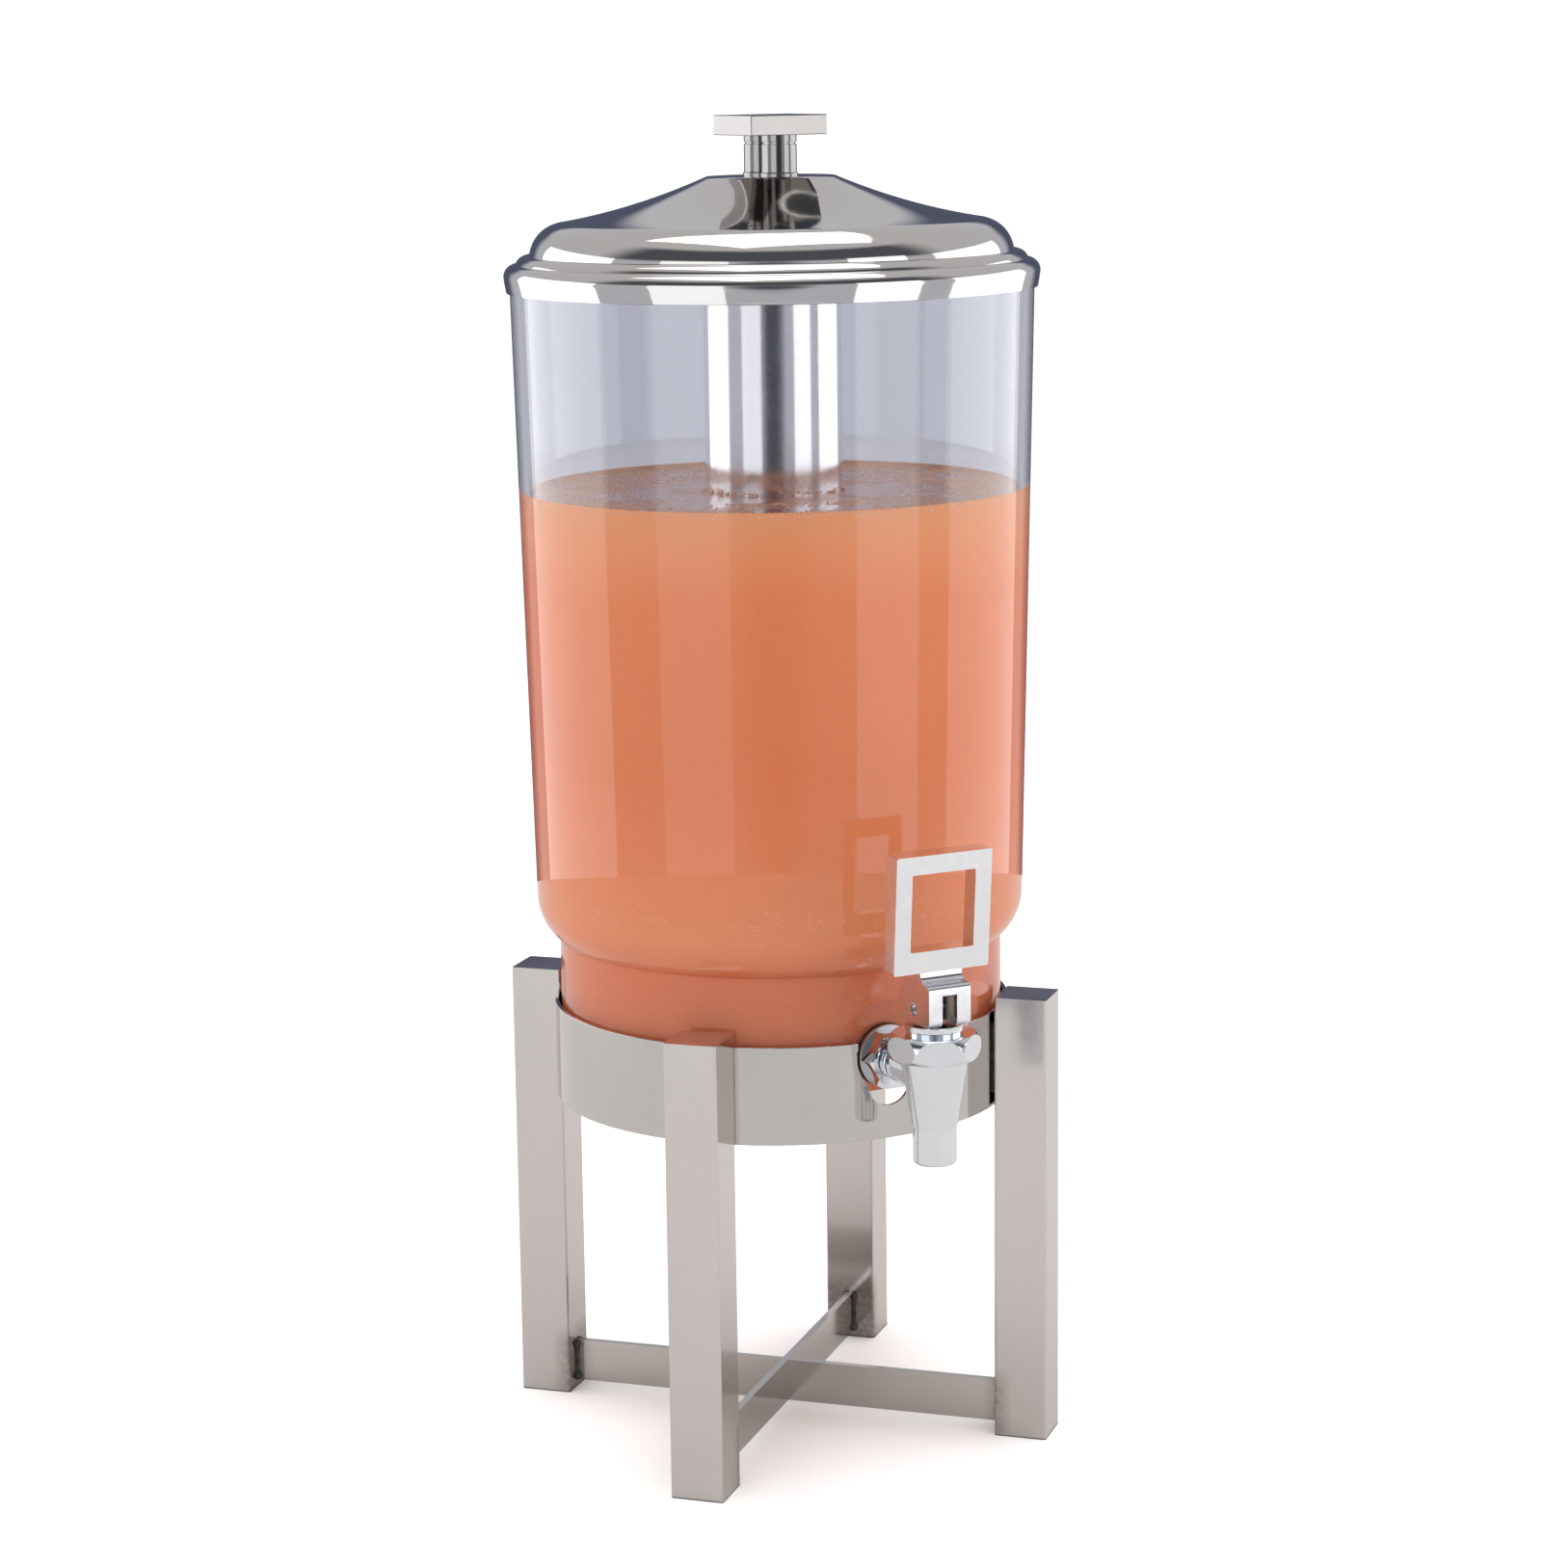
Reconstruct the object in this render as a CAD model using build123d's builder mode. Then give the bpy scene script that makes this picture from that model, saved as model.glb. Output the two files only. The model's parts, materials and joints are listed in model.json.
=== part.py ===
from build123d import *
import os
from math import asin, cos, degrees, radians, sin, sqrt

# Juice dispenser: a clear tank with a hung ice tube and a lift-off lid, standing in a
# four-legged steel stand, drained by a lever faucet at the front.
# Millimetres. The origin is on the floor under the tank's axis, +Z is up and the faucet faces -Y.

os.makedirs("parts", exist_ok=True)

# ---- stand ----
leg_width = 22.0
leg_wall = 1.5
leg_height = 188.0
leg_edge_radius = 1.0
cap_thickness = 2.0
plug_gap = 0.02
glide_height = 14.0
glide_proud = 0.5
bar_height = 18.0
bar_thickness = 3.0
bar_clearance_floor = 3.0
lap_gap = 0.02
ring_wall = 1.5
ring_height = 40.0
ring_bottom_z = 142.0
leg_gap = 0.4
notch_clearance = 0.6
notch_round_step = 0.5
notch_foot_margin = 2.3
notch_foot_drop = 10.3
tab_width = 20.0
tab_reach = 12.0
tab_thickness = 2.0
blob_radius = 1.7
seam_radius = 0.7
ring_weld_inner = 6.0
ring_weld_outer = 10.0
ring_weld_height = 30.0

# ---- tank ----
tank_base_radius = 91.8
tank_shoulder_rise = 66.0
shoulder_step = 9.0
wall_flare = 5.2
tank_height = 320.0
tank_wall = 4.0
tank_floor = 3.5
tank_stand_depth = 21.0
shoulder_round = 22.0
base_clearance = 1.2
rim_round = 1.2
pad_radius = 22.0
pad_depth = 1.8

# ---- lid ----
lid_wall = 0.8
disc_inset = 1.9
disc_rise = 38.4
cone_middle_out = 0.385
cone_middle_up = 0.505
cone_foot_rise = 20.6
bulge_width = 10.7
bulge_foot_rise = 8.1
bead_width = 5.7
bead_foot_rise = 4.8
lip_width = 4.9
lip_swell = 1.0
lip_drop = 6.4
lip_clearance = 0.5
gasket_thickness = 2.0
gasket_inset = 0.6
flange_thickness = 0.8
skirt_wall = 1.0
skirt_clearance = 1.1
skirt_drop = 7.0
skirt_rise = 5.5
# where each rolled band of the lid stands furthest out, as shares of its own width and rise
bulge_peak_in = 0.32
bulge_peak_up = 0.635
bead_peak_in = 0.3
bead_peak_up = 0.73
lip_peak_in = 0.29
lip_peak_up = 0.68
lip_side_in = 0.42
# how much of the wall's thickness is taken off the radius on the dome and on the rolled bands
dome_share = 0.25
band_share = 0.7

# ---- knob ----
plate_side = 34.0
plate_thickness = 8.0
plate_edge_radius = 0.6
post_radius = 7.1
post_height = 16.2
post_spacing = 15.6
post_groove_depth = 0.5
post_groove_height = 0.9
post_groove_drop = 3.6
post_foot_radius = 7.6
post_foot_height = 1.4
knob_screw_radius = 2.0
knob_screw_head_radius = 3.6
knob_screw_head_height = 2.6
knob_screw_bite = 10.0
knob_washer_radius = 4.4
knob_washer_thickness = 0.8
screw_gap = 0.05

# ---- ice tube ----
tube_radius = 27.9
tube_wall = 0.8
tube_top_drop = 11.4
tube_floor_gap = 40.5
socket_wall = 1.2
socket_clearance = 0.3
socket_top_gap = 0.8
socket_height = 34.0
lug_radius = 2.2
lug_proud = 1.4
lug_drop = 10.0
lug_clearance = 0.3
twist_angle = 35.0
tube_cap_thickness = 1.0
tube_cap_lip = 6.0
press_gap = 0.02
cutter_overrun = 1.0
sector_reach = 1.5

# ---- faucet ----
boss_length = 25.2
shank_radius = 7.4
shank_wall = 2.8
shank_tail = 10.0
shank_collar_length = 1.9
shank_groove_length = 1.4
hole_clearance = 0.3
boss_step = 0.5
boss_margin = 0.1
groove_depth = 1.0
spout_radius = 8.6
spout_bore_radius = 6.0
spout_drop = 34.5
spout_length = 15.0
cone_low_radius = 8.9
cone_high_radius = 13.7
chamber_radius = 8.8
chamber_drop = 8.5
outer_gasket_wall = 5.5
outer_gasket_thickness = 2.2
washer_wall = 5.4
washer_thickness = 1.6
jam_nut_wall = 3.6
jam_nut_thickness = 8.7
inner_gasket_wall = 2.6
inner_gasket_thickness = 2.0
inner_pad_margin = 0.8
inner_pad_lift = 0.2
lock_nut_wall = 2.1
lock_nut_thickness = 7.0
nut_bore_gap = 0.02

# ---- bonnet ----
bonnet_height = 10.2
bonnet_radius = 18.4
bonnet_flats = 32.5
bonnet_round = 6.9
bonnet_turn = -21.5
collar_low_radius = 10.6
collar_low_height = 1.2
collar_radius = 11.4
collar_height = 2.5
bonnet_skirt_depth = 4.0
bonnet_skirt_gap = 0.05

# ---- valve stem ----
stem_radius = 3.0
stem_clearance = 0.06
stem_top_rise = 4.4
cup_radius = 7.0
cup_height = 8.0
cup_seat_gap = 0.3
cup_wall = 1.6
o_ring_section = 1.5
o_ring_gap = 0.05
o_ring_drop = 3.0

# ---- handle ----
pin_rise = 6.4
pin_radius = 1.5
pin_clearance = 0.05
pin_recess = 1.6
pin_counterbore_radius = 2.5
cheek_width = 6.0
block_half_depth = 12.5
block_bottom_drop = 5.6
block_heel_radius = 2.5
slot_clearance = 0.2
slot_rise = 7.0
slot_back_gap = 2.6
frame_width = 41.8
frame_height = 47.0
frame_thickness = 8.0
frame_side_bar = 7.0
frame_top_bar = 7.4
frame_bottom_bar = 8.6
frame_lean = 4.3
frame_foot_rise = 15.3
frame_foot_back = 2.2
frame_edge_radius = 0.8
face_rise = 9.0
step_depth = 2.5
step_height = 2.2
# how far the block's curved faces bow, as shares of its half depth and of the step
back_bow = 0.76
step_bow_in = 0.3
step_bow_up = 0.7
neck_bow_up = 1.6

# ---- sizes that follow ----
ring_top_z = ring_bottom_z + ring_height
tank_base_z = ring_top_z - tank_stand_depth
tank_floor_z = tank_base_z + tank_floor
tank_shoulder_z = tank_base_z + tank_shoulder_rise
tank_shoulder_radius = tank_base_radius + shoulder_step
tank_top_radius = tank_shoulder_radius + wall_flare
tank_top_z = tank_base_z + tank_height
ring_inner_radius = tank_base_radius + base_clearance
ring_outer_radius = ring_inner_radius + ring_wall
leg_inner_distance = ring_outer_radius + leg_gap
leg_centre_distance = leg_inner_distance + leg_width / 2
cap_side = leg_width - 2 * leg_wall - 2 * plug_gap
bar_top_z = bar_clearance_floor + bar_height
pad_y = -(tank_base_radius - pad_depth)
inner_pad_y = pad_y + tank_wall
inner_gasket_radius = shank_radius + inner_gasket_wall
inner_pad_radius = inner_gasket_radius + inner_pad_margin
tank_mouth_radius = tank_top_radius - tank_wall

lip_foot_radius = tank_top_radius + lip_clearance + lid_wall
lip_radius = lip_foot_radius + lip_swell
bead_radius = lip_radius - lip_width
bulge_radius = bead_radius - bead_width
cone_foot_radius = bulge_radius - bulge_width
disc_radius = tube_radius - disc_inset
disc_z = tank_top_z + disc_rise
cone_middle_radius = disc_radius + cone_middle_out * (cone_foot_radius - disc_radius)
cone_middle_rise = cone_foot_rise + cone_middle_up * (disc_rise - cone_foot_rise)
lid_seat_z = tank_top_z + gasket_thickness
skirt_outer_radius = tank_mouth_radius - skirt_clearance
skirt_inner_radius = skirt_outer_radius - skirt_wall
flange_radius = tank_top_radius - gasket_inset
plate_bottom_z = disc_z + post_height

tube_top_z = disc_z - tube_top_drop
tube_foot_z = tank_floor_z + tube_floor_gap
tube_inner_radius = tube_radius - tube_wall
socket_outer_radius = tube_inner_radius - socket_clearance
socket_top_z = disc_z - lid_wall - socket_top_gap
lug_z = tube_top_z - lug_drop

shank_bore_radius = shank_radius - shank_wall
boss_radius = shank_radius + boss_step
groove_radius = shank_radius - groove_depth
outer_gasket_radius = shank_radius + outer_gasket_wall
washer_radius = shank_radius + washer_wall
jam_nut_flats = 2 * (shank_radius + jam_nut_wall)
lock_nut_flats = 2 * (shank_radius + lock_nut_wall)
notch_foot_radius = shank_radius + notch_foot_margin
shank_rise = tank_floor + inner_pad_radius + inner_pad_lift
notch_half_width = outer_gasket_radius + notch_clearance
notch_round_radius = notch_half_width + notch_round_step
shank_z = tank_base_z + shank_rise
spout_foot_z = shank_z - spout_drop
cone_low_z = spout_foot_z + spout_length
body_top_z = shank_z + boss_radius + boss_margin
chamber_floor_z = shank_z - chamber_drop
outer_gasket_front = pad_y - outer_gasket_thickness
washer_front = outer_gasket_front - washer_thickness
jam_nut_front = washer_front - jam_nut_thickness
inner_gasket_back = inner_pad_y + inner_gasket_thickness
shank_end_y = inner_pad_y + shank_tail
boss_end_y = jam_nut_front - shank_collar_length - shank_groove_length
faucet_reach = boss_length - boss_end_y
bonnet_top_z = body_top_z + bonnet_height
collar_top_z = bonnet_top_z + collar_low_height + collar_height
pin_z = collar_top_z + pin_rise
frame_foot_z = pin_z + frame_foot_rise
slot_width = 2 * (stem_radius + slot_clearance)
slot_back = stem_radius + slot_back_gap
block_width = slot_width + 2 * cheek_width

corners = {
    "front_right": -45.0,
    "back_right": 45.0,
    "back_left": 135.0,
    "front_left": 225.0,
}


def save(piece, name):
    piece.part.label = name
    export_step(piece.part, f"parts/{name}.step")


# ---------------------------------------------------------------- stand


def leg_plane(angle, height):
    # x runs outward along the leg's own diagonal
    direction = (cos(radians(angle)), sin(radians(angle)), 0)
    return Plane(origin=(0, 0, height), x_dir=direction, z_dir=(0, 0, 1))


for corner, angle in corners.items():
    with BuildPart() as leg:
        with BuildSketch(leg_plane(angle, glide_proud)):
            with Locations((leg_centre_distance, 0)):
                RectangleRounded(leg_width, leg_width, leg_edge_radius)
                Rectangle(leg_width - 2 * leg_wall, leg_width - 2 * leg_wall, mode=Mode.SUBTRACT)
        extrude(amount=leg_height - glide_proud)
    save(leg, f"leg_{corner}")

    with BuildPart() as leg_cap:
        with BuildSketch(leg_plane(angle, leg_height)):
            with Locations((leg_centre_distance, 0)):
                Rectangle(cap_side, cap_side)
        extrude(amount=-cap_thickness)
    save(leg_cap, f"leg_cap_{corner}")

    with BuildPart() as glide:
        with BuildSketch(leg_plane(angle, glide_proud)):
            with Locations((leg_centre_distance, 0)):
                Rectangle(cap_side, cap_side)
        extrude(amount=glide_height)
        with BuildSketch(leg_plane(angle, 0)):
            with Locations((leg_centre_distance, 0)):
                RectangleRounded(leg_width, leg_width, leg_edge_radius)
        extrude(amount=glide_proud)
    save(glide, f"foot_glide_{corner}")

# two flat bars on edge, half-lapped where they cross under the tank's axis
bar_length = 2 * leg_inner_distance
lap_depth = bar_height / 2
lap_width = bar_thickness + 2 * lap_gap

with BuildPart() as bar_front_to_back:
    with BuildSketch(leg_plane(corners["back_right"], bar_clearance_floor)):
        Rectangle(bar_length, bar_thickness)
    extrude(amount=bar_height)
    with BuildSketch(leg_plane(corners["back_right"], bar_top_z)):
        Rectangle(lap_width, bar_thickness)
    extrude(amount=-lap_depth, mode=Mode.SUBTRACT)
save(bar_front_to_back, "cross_bar_front_left_to_back_right")

with BuildPart() as bar_side_to_side:
    with BuildSketch(leg_plane(corners["front_right"], bar_clearance_floor)):
        Rectangle(bar_length, bar_thickness)
    extrude(amount=bar_height)
    with BuildSketch(leg_plane(corners["front_right"], bar_clearance_floor)):
        Rectangle(lap_width, bar_thickness)
    extrude(amount=lap_depth, mode=Mode.SUBTRACT)
save(bar_side_to_side, "cross_bar_front_right_to_back_left")

# spot welds in the corners between each bar end and its leg
with BuildPart() as cross_welds:
    for angle in corners.values():
        for side in (1, -1):
            weld_plane = leg_plane(angle, bar_clearance_floor)
            weld_x = leg_inner_distance
            weld_y = side * bar_thickness / 2
            low = weld_plane.from_local_coords((weld_x, weld_y, blob_radius))
            high = weld_plane.from_local_coords((weld_x, weld_y, bar_height - blob_radius))
            with Locations(low, high):
                Sphere(blob_radius)
            with BuildSketch(Plane(origin=low, x_dir=weld_plane.x_dir, z_dir=(0, 0, 1))):
                Circle(seam_radius)
            extrude(amount=bar_height - 2 * blob_radius)
    for angle in corners.values():
        with BuildSketch(leg_plane(angle, 0)):
            with Locations((leg_centre_distance, 0)):
                Rectangle(leg_width, leg_width)
        extrude(amount=leg_height, mode=Mode.SUBTRACT)
        with BuildSketch(leg_plane(angle, 0)):
            with Locations((leg_inner_distance / 2, 0)):
                Rectangle(leg_inner_distance, bar_thickness)
        extrude(amount=leg_height, mode=Mode.SUBTRACT)
save(cross_welds, "cross_welds")

# rolled band that the tank stands in, open at the front for the faucet's shank
notch_centre_z = shank_z
notch_foot_z = shank_z - notch_foot_drop

with BuildPart() as support_ring:
    with BuildSketch(Plane.XY.offset(ring_bottom_z)):
        Circle(ring_outer_radius)
        Circle(ring_inner_radius, mode=Mode.SUBTRACT)
    extrude(amount=ring_height)
    with BuildSketch(Plane.XZ):
        with Locations((0, notch_centre_z)):
            Circle(notch_round_radius)
        with Locations((0, notch_foot_z)):
            Circle(notch_foot_radius)
        with Locations((0, notch_centre_z + ring_height / 2)):
            Rectangle(2 * notch_half_width, ring_height)
    extrude(amount=2 * ring_outer_radius, mode=Mode.SUBTRACT)
save(support_ring, "support_ring")

# the tank stands on four small plates welded inside the band
tab_outer = ring_inner_radius
tab_inner = ring_inner_radius - tab_reach

for corner, angle in corners.items():
    with BuildPart() as support_tab:
        with BuildSketch(leg_plane(angle, tank_base_z)):
            Circle(tab_outer)
            Circle(tab_inner, mode=Mode.SUBTRACT)
            with Locations((tab_outer, 0)):
                Rectangle(2 * tab_outer, tab_width, mode=Mode.INTERSECT)
        extrude(amount=-tab_thickness)
    save(support_tab, f"support_tab_{corner}")

# weld seams that fill the wedge between the round band and each leg's flat face
ring_weld_z = ring_bottom_z + (ring_height - ring_weld_height) / 2
ring_weld_width = ring_weld_outer - ring_weld_inner
ring_weld_middle = (ring_weld_outer + ring_weld_inner) / 2

with BuildPart() as ring_welds:
    for angle in corners.values():
        with BuildSketch(leg_plane(angle, ring_weld_z)):
            for side in (1, -1):
                with Locations((leg_inner_distance - leg_gap, side * ring_weld_middle)):
                    Rectangle(2 * leg_gap, ring_weld_width)
            Circle(ring_outer_radius, mode=Mode.SUBTRACT)
        extrude(amount=ring_weld_height)
save(ring_welds, "ring_welds")

# ---------------------------------------------------------------- tank

shoulder_centre_r = tank_shoulder_radius - shoulder_round
shoulder_foot_z = tank_shoulder_z - sqrt(shoulder_round**2 - (tank_base_radius - shoulder_centre_r) ** 2)
inner_round = shoulder_round - tank_wall
inner_base_radius = tank_base_radius - tank_wall
inner_foot_z = tank_shoulder_z - sqrt(inner_round**2 - (inner_base_radius - shoulder_centre_r) ** 2)


def shoulder_middle(radius, foot_r, foot_z):
    # a point halfway round the shoulder's arc, between its foot and its level top
    dx = foot_r - shoulder_centre_r
    dz = foot_z - tank_shoulder_z
    mid_x = dx + radius
    length = sqrt(mid_x**2 + dz**2)
    return (shoulder_centre_r + radius * mid_x / length, tank_shoulder_z + radius * dz / length)


with BuildPart() as tank:
    with BuildSketch(Plane.XZ):
        with BuildLine():
            Polyline(
                (0, tank_base_z),
                (tank_base_radius, tank_base_z),
                (tank_base_radius, shoulder_foot_z),
            )
            ThreePointArc(
                (tank_base_radius, shoulder_foot_z),
                shoulder_middle(shoulder_round, tank_base_radius, shoulder_foot_z),
                (tank_shoulder_radius, tank_shoulder_z),
            )
            Polyline(
                (tank_shoulder_radius, tank_shoulder_z),
                (tank_top_radius, tank_top_z),
                (tank_top_radius - tank_wall, tank_top_z),
                (tank_shoulder_radius - tank_wall, tank_shoulder_z),
            )
            ThreePointArc(
                (tank_shoulder_radius - tank_wall, tank_shoulder_z),
                shoulder_middle(inner_round, inner_base_radius, inner_foot_z),
                (inner_base_radius, inner_foot_z),
            )
            Polyline(
                (inner_base_radius, inner_foot_z),
                (inner_base_radius, tank_floor_z),
                (0, tank_floor_z),
                (0, tank_base_z),
            )
        make_face()
    revolve(axis=Axis.Z)
    rim_edges = tank.edges().group_by(Axis.Z)[-1]
    fillet(rim_edges, rim_round)
    # flat round pads outside and inside for the faucet's gaskets, and the hole for its shank
    with BuildSketch(Plane.XZ.offset(-inner_pad_y)):
        with Locations((0, shank_z)):
            Circle(inner_pad_radius)
    extrude(amount=tank_wall - pad_depth / 2)
    with BuildSketch(Plane.XZ.offset(-pad_y)):
        with Locations((0, shank_z)):
            Circle(pad_radius)
    extrude(amount=tank_base_radius, mode=Mode.SUBTRACT)
    with BuildSketch(Plane.XZ):
        with Locations((0, shank_z)):
            Circle(shank_radius + hole_clearance)
    extrude(amount=2 * tank_base_radius, mode=Mode.SUBTRACT)
save(tank, "tank")


# ---------------------------------------------------------------- lid


def lid_outline(wall):
    # the pressed lid's section from the axis out to the lip, moved inward by a wall thickness
    z0 = tank_top_z - wall
    dome_wall = dome_share * wall
    band_wall = band_share * wall
    disc_end = (disc_radius - dome_wall, z0 + disc_rise)
    cone_mid = (cone_middle_radius - dome_wall, z0 + cone_middle_rise)
    cone_foot = (cone_foot_radius - dome_wall, z0 + cone_foot_rise)
    bulge_foot = (bulge_radius - wall, z0 + bulge_foot_rise)
    bead_foot = (bead_radius - wall, z0 + bead_foot_rise)
    lip_side = (lip_radius - wall, tank_top_z)
    lip_foot = (lip_foot_radius - wall, tank_top_z - lip_drop)
    bulge_peak_z = bulge_foot_rise + bulge_peak_up * (cone_foot_rise - bulge_foot_rise)
    bead_peak_z = bead_foot_rise + bead_peak_up * (bulge_foot_rise - bead_foot_rise)
    lip_peak_z = lip_peak_up * bead_foot_rise
    band_z0 = tank_top_z - band_wall
    bulge_mid = (bulge_radius - bulge_peak_in * bulge_width - band_wall, band_z0 + bulge_peak_z)
    bead_mid = (bead_radius - bead_peak_in * bead_width - band_wall, band_z0 + bead_peak_z)
    lip_mid = (lip_radius - lip_peak_in * lip_width - band_wall, band_z0 + lip_peak_z)
    lip_low = (lip_radius - lip_side_in * lip_swell - wall, tank_top_z - lip_drop / 2)
    Line((0, z0 + disc_rise), disc_end)
    ThreePointArc(disc_end, cone_mid, cone_foot)
    ThreePointArc(cone_foot, bulge_mid, bulge_foot)
    ThreePointArc(bulge_foot, bead_mid, bead_foot)
    ThreePointArc(bead_foot, lip_mid, lip_side)
    ThreePointArc(lip_side, lip_low, lip_foot)


with BuildPart() as lid_shell:
    with BuildSketch(Plane.XZ):
        with BuildLine():
            lid_outline(0)
            lid_outline(lid_wall)
            Line((0, disc_z), (0, disc_z - lid_wall))
            Line(
                (lip_foot_radius, tank_top_z - lip_drop),
                (lip_foot_radius - lid_wall, tank_top_z - lip_drop),
            )
        make_face()
    revolve(axis=Axis.Z)
    with BuildSketch(Plane.XY.offset(disc_z)):
        with GridLocations(0, post_spacing, 1, 2):
            Circle(knob_screw_radius + hole_clearance)
    extrude(amount=-2 * lid_wall, mode=Mode.SUBTRACT)
save(lid_shell, "lid_shell")

# ring welded under the lid: its wall plugs the tank's mouth and its flange sits on the gasket
with BuildPart() as lid_skirt:
    with BuildSketch(Plane.XY.offset(tank_top_z - skirt_drop)):
        Circle(skirt_outer_radius)
        Circle(skirt_inner_radius, mode=Mode.SUBTRACT)
    extrude(amount=skirt_drop + skirt_rise)
    with BuildSketch(Plane.XY.offset(lid_seat_z)):
        Circle(flange_radius)
        Circle(skirt_inner_radius, mode=Mode.SUBTRACT)
    extrude(amount=flange_thickness)
save(lid_skirt, "lid_skirt")

with BuildPart() as lid_gasket:
    with BuildSketch(Plane.XY.offset(tank_top_z)):
        Circle(flange_radius)
        Circle(tank_mouth_radius + gasket_inset, mode=Mode.SUBTRACT)
    extrude(amount=gasket_thickness)
save(lid_gasket, "lid_gasket")

# ---------------------------------------------------------------- knob

post_places = {"front": -post_spacing / 2, "back": post_spacing / 2}

for place, post_y in post_places.items():
    with BuildPart() as post:
        with BuildSketch(Plane.XY.offset(disc_z)):
            with Locations((0, post_y)):
                Circle(post_radius)
        extrude(amount=post_height)
        with BuildSketch(Plane.XY.offset(disc_z)):
            with Locations((0, post_y)):
                Circle(post_foot_radius)
        extrude(amount=post_foot_height)
        with BuildSketch(Plane.XY.offset(plate_bottom_z - post_groove_drop)):
            with Locations((0, post_y)):
                Circle(post_radius + cutter_overrun)
                Circle(post_radius - post_groove_depth, mode=Mode.SUBTRACT)
        extrude(amount=post_groove_height, mode=Mode.SUBTRACT)
        with BuildSketch(Plane.XY.offset(disc_z)):
            with Locations((0, post_y)):
                Circle(knob_screw_radius + screw_gap)
        extrude(amount=knob_screw_bite + cutter_overrun, mode=Mode.SUBTRACT)
    save(post, f"knob_post_{place}")

with BuildPart() as knob_plate:
    with BuildSketch(Plane.XY.offset(plate_bottom_z)):
        Rectangle(plate_side, plate_side)
    extrude(amount=plate_thickness)
    fillet(knob_plate.edges(), plate_edge_radius)
save(knob_plate, "knob_plate")

washer_top_z = disc_z - lid_wall
head_top_z = washer_top_z - knob_washer_thickness

with BuildPart() as knob_washers:
    with BuildSketch(Plane.XY.offset(head_top_z)):
        with GridLocations(0, post_spacing, 1, 2):
            Circle(knob_washer_radius)
            Circle(knob_screw_radius + screw_gap, mode=Mode.SUBTRACT)
    extrude(amount=knob_washer_thickness)
save(knob_washers, "knob_washers")

with BuildPart() as knob_screws:
    with BuildSketch(Plane.XY.offset(head_top_z)):
        with GridLocations(0, post_spacing, 1, 2):
            Circle(knob_screw_head_radius)
    extrude(amount=-knob_screw_head_height)
    with BuildSketch(Plane.XY.offset(head_top_z)):
        with GridLocations(0, post_spacing, 1, 2):
            Circle(knob_screw_radius)
    extrude(amount=knob_washer_thickness + lid_wall + knob_screw_bite)
save(knob_screws, "knob_screws")

# ---------------------------------------------------------------- ice tube

with BuildPart() as tube_socket:
    with BuildSketch(Plane.XY.offset(socket_top_z)):
        Circle(socket_outer_radius)
        Circle(socket_outer_radius - socket_wall, mode=Mode.SUBTRACT)
    extrude(amount=-socket_height)
    with BuildSketch(Plane.YZ):
        with Locations((0, lug_z)):
            Circle(lug_radius + press_gap)
    extrude(amount=2 * tube_radius, both=True, mode=Mode.SUBTRACT)
save(tube_socket, "tube_socket")

# two lugs on the socket that the tube hangs from by its bent slots
with BuildPart() as socket_lugs:
    with BuildSketch(Plane.YZ):
        with Locations((0, lug_z)):
            Circle(lug_radius)
    extrude(amount=tube_radius + lug_proud, both=True)
    with BuildSketch(Plane.XY.offset(lug_z)):
        Circle(socket_outer_radius - socket_wall)
    extrude(amount=2 * lug_radius, both=True, mode=Mode.SUBTRACT)
save(socket_lugs, "socket_lugs")

slot_half = lug_radius + lug_clearance
slot_reach = sector_reach * tube_radius
# half the slot's width seen from the tube's axis, at its inner face
slot_margin = degrees(asin(slot_half / tube_inner_radius))


def around(angle):
    return (slot_reach * cos(radians(angle)), slot_reach * sin(radians(angle)))


with BuildPart() as ice_tube:
    with BuildSketch(Plane.XY.offset(tube_foot_z)):
        Circle(tube_radius)
        Circle(tube_inner_radius, mode=Mode.SUBTRACT)
    extrude(amount=tube_top_z - tube_foot_z)
    for side in (0, 180):
        locked = side + slot_margin
        open_end = side - twist_angle - slot_margin
        open_start = side - twist_angle + slot_margin
        with BuildSketch(Plane.XY.offset(lug_z - slot_half)):
            with BuildLine():
                Polyline((0, 0), around(locked), around(open_end), (0, 0))
            make_face()
        extrude(amount=2 * slot_half, mode=Mode.SUBTRACT)
        with BuildSketch(Plane.XY.offset(lug_z)):
            with BuildLine():
                Polyline((0, 0), around(open_start), around(open_end), (0, 0))
            make_face()
        extrude(amount=lug_drop + cutter_overrun, mode=Mode.SUBTRACT)
save(ice_tube, "ice_tube")

cap_radius = tube_inner_radius - press_gap

with BuildPart() as ice_tube_cap:
    with BuildSketch(Plane.XY.offset(tube_foot_z)):
        Circle(cap_radius)
    extrude(amount=tube_cap_lip)
    with BuildSketch(Plane.XY.offset(tube_foot_z + tube_cap_thickness)):
        Circle(cap_radius - tube_cap_thickness)
    extrude(amount=tube_cap_lip, mode=Mode.SUBTRACT)
save(ice_tube_cap, "ice_tube_cap")

# ---------------------------------------------------------------- faucet

faucet_axis = Axis((0, -faucet_reach, 0), (0, 0, 1))
faucet_plane = Plane.XZ.offset(faucet_reach)


def faucet_level(height):
    return Plane(origin=(0, -faucet_reach, height), z_dir=(0, 0, 1))


def across(y):
    # a plane square to the shank, looking out of the front
    return Plane(origin=(0, y, shank_z), x_dir=(1, 0, 0), z_dir=(0, -1, 0))


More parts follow.
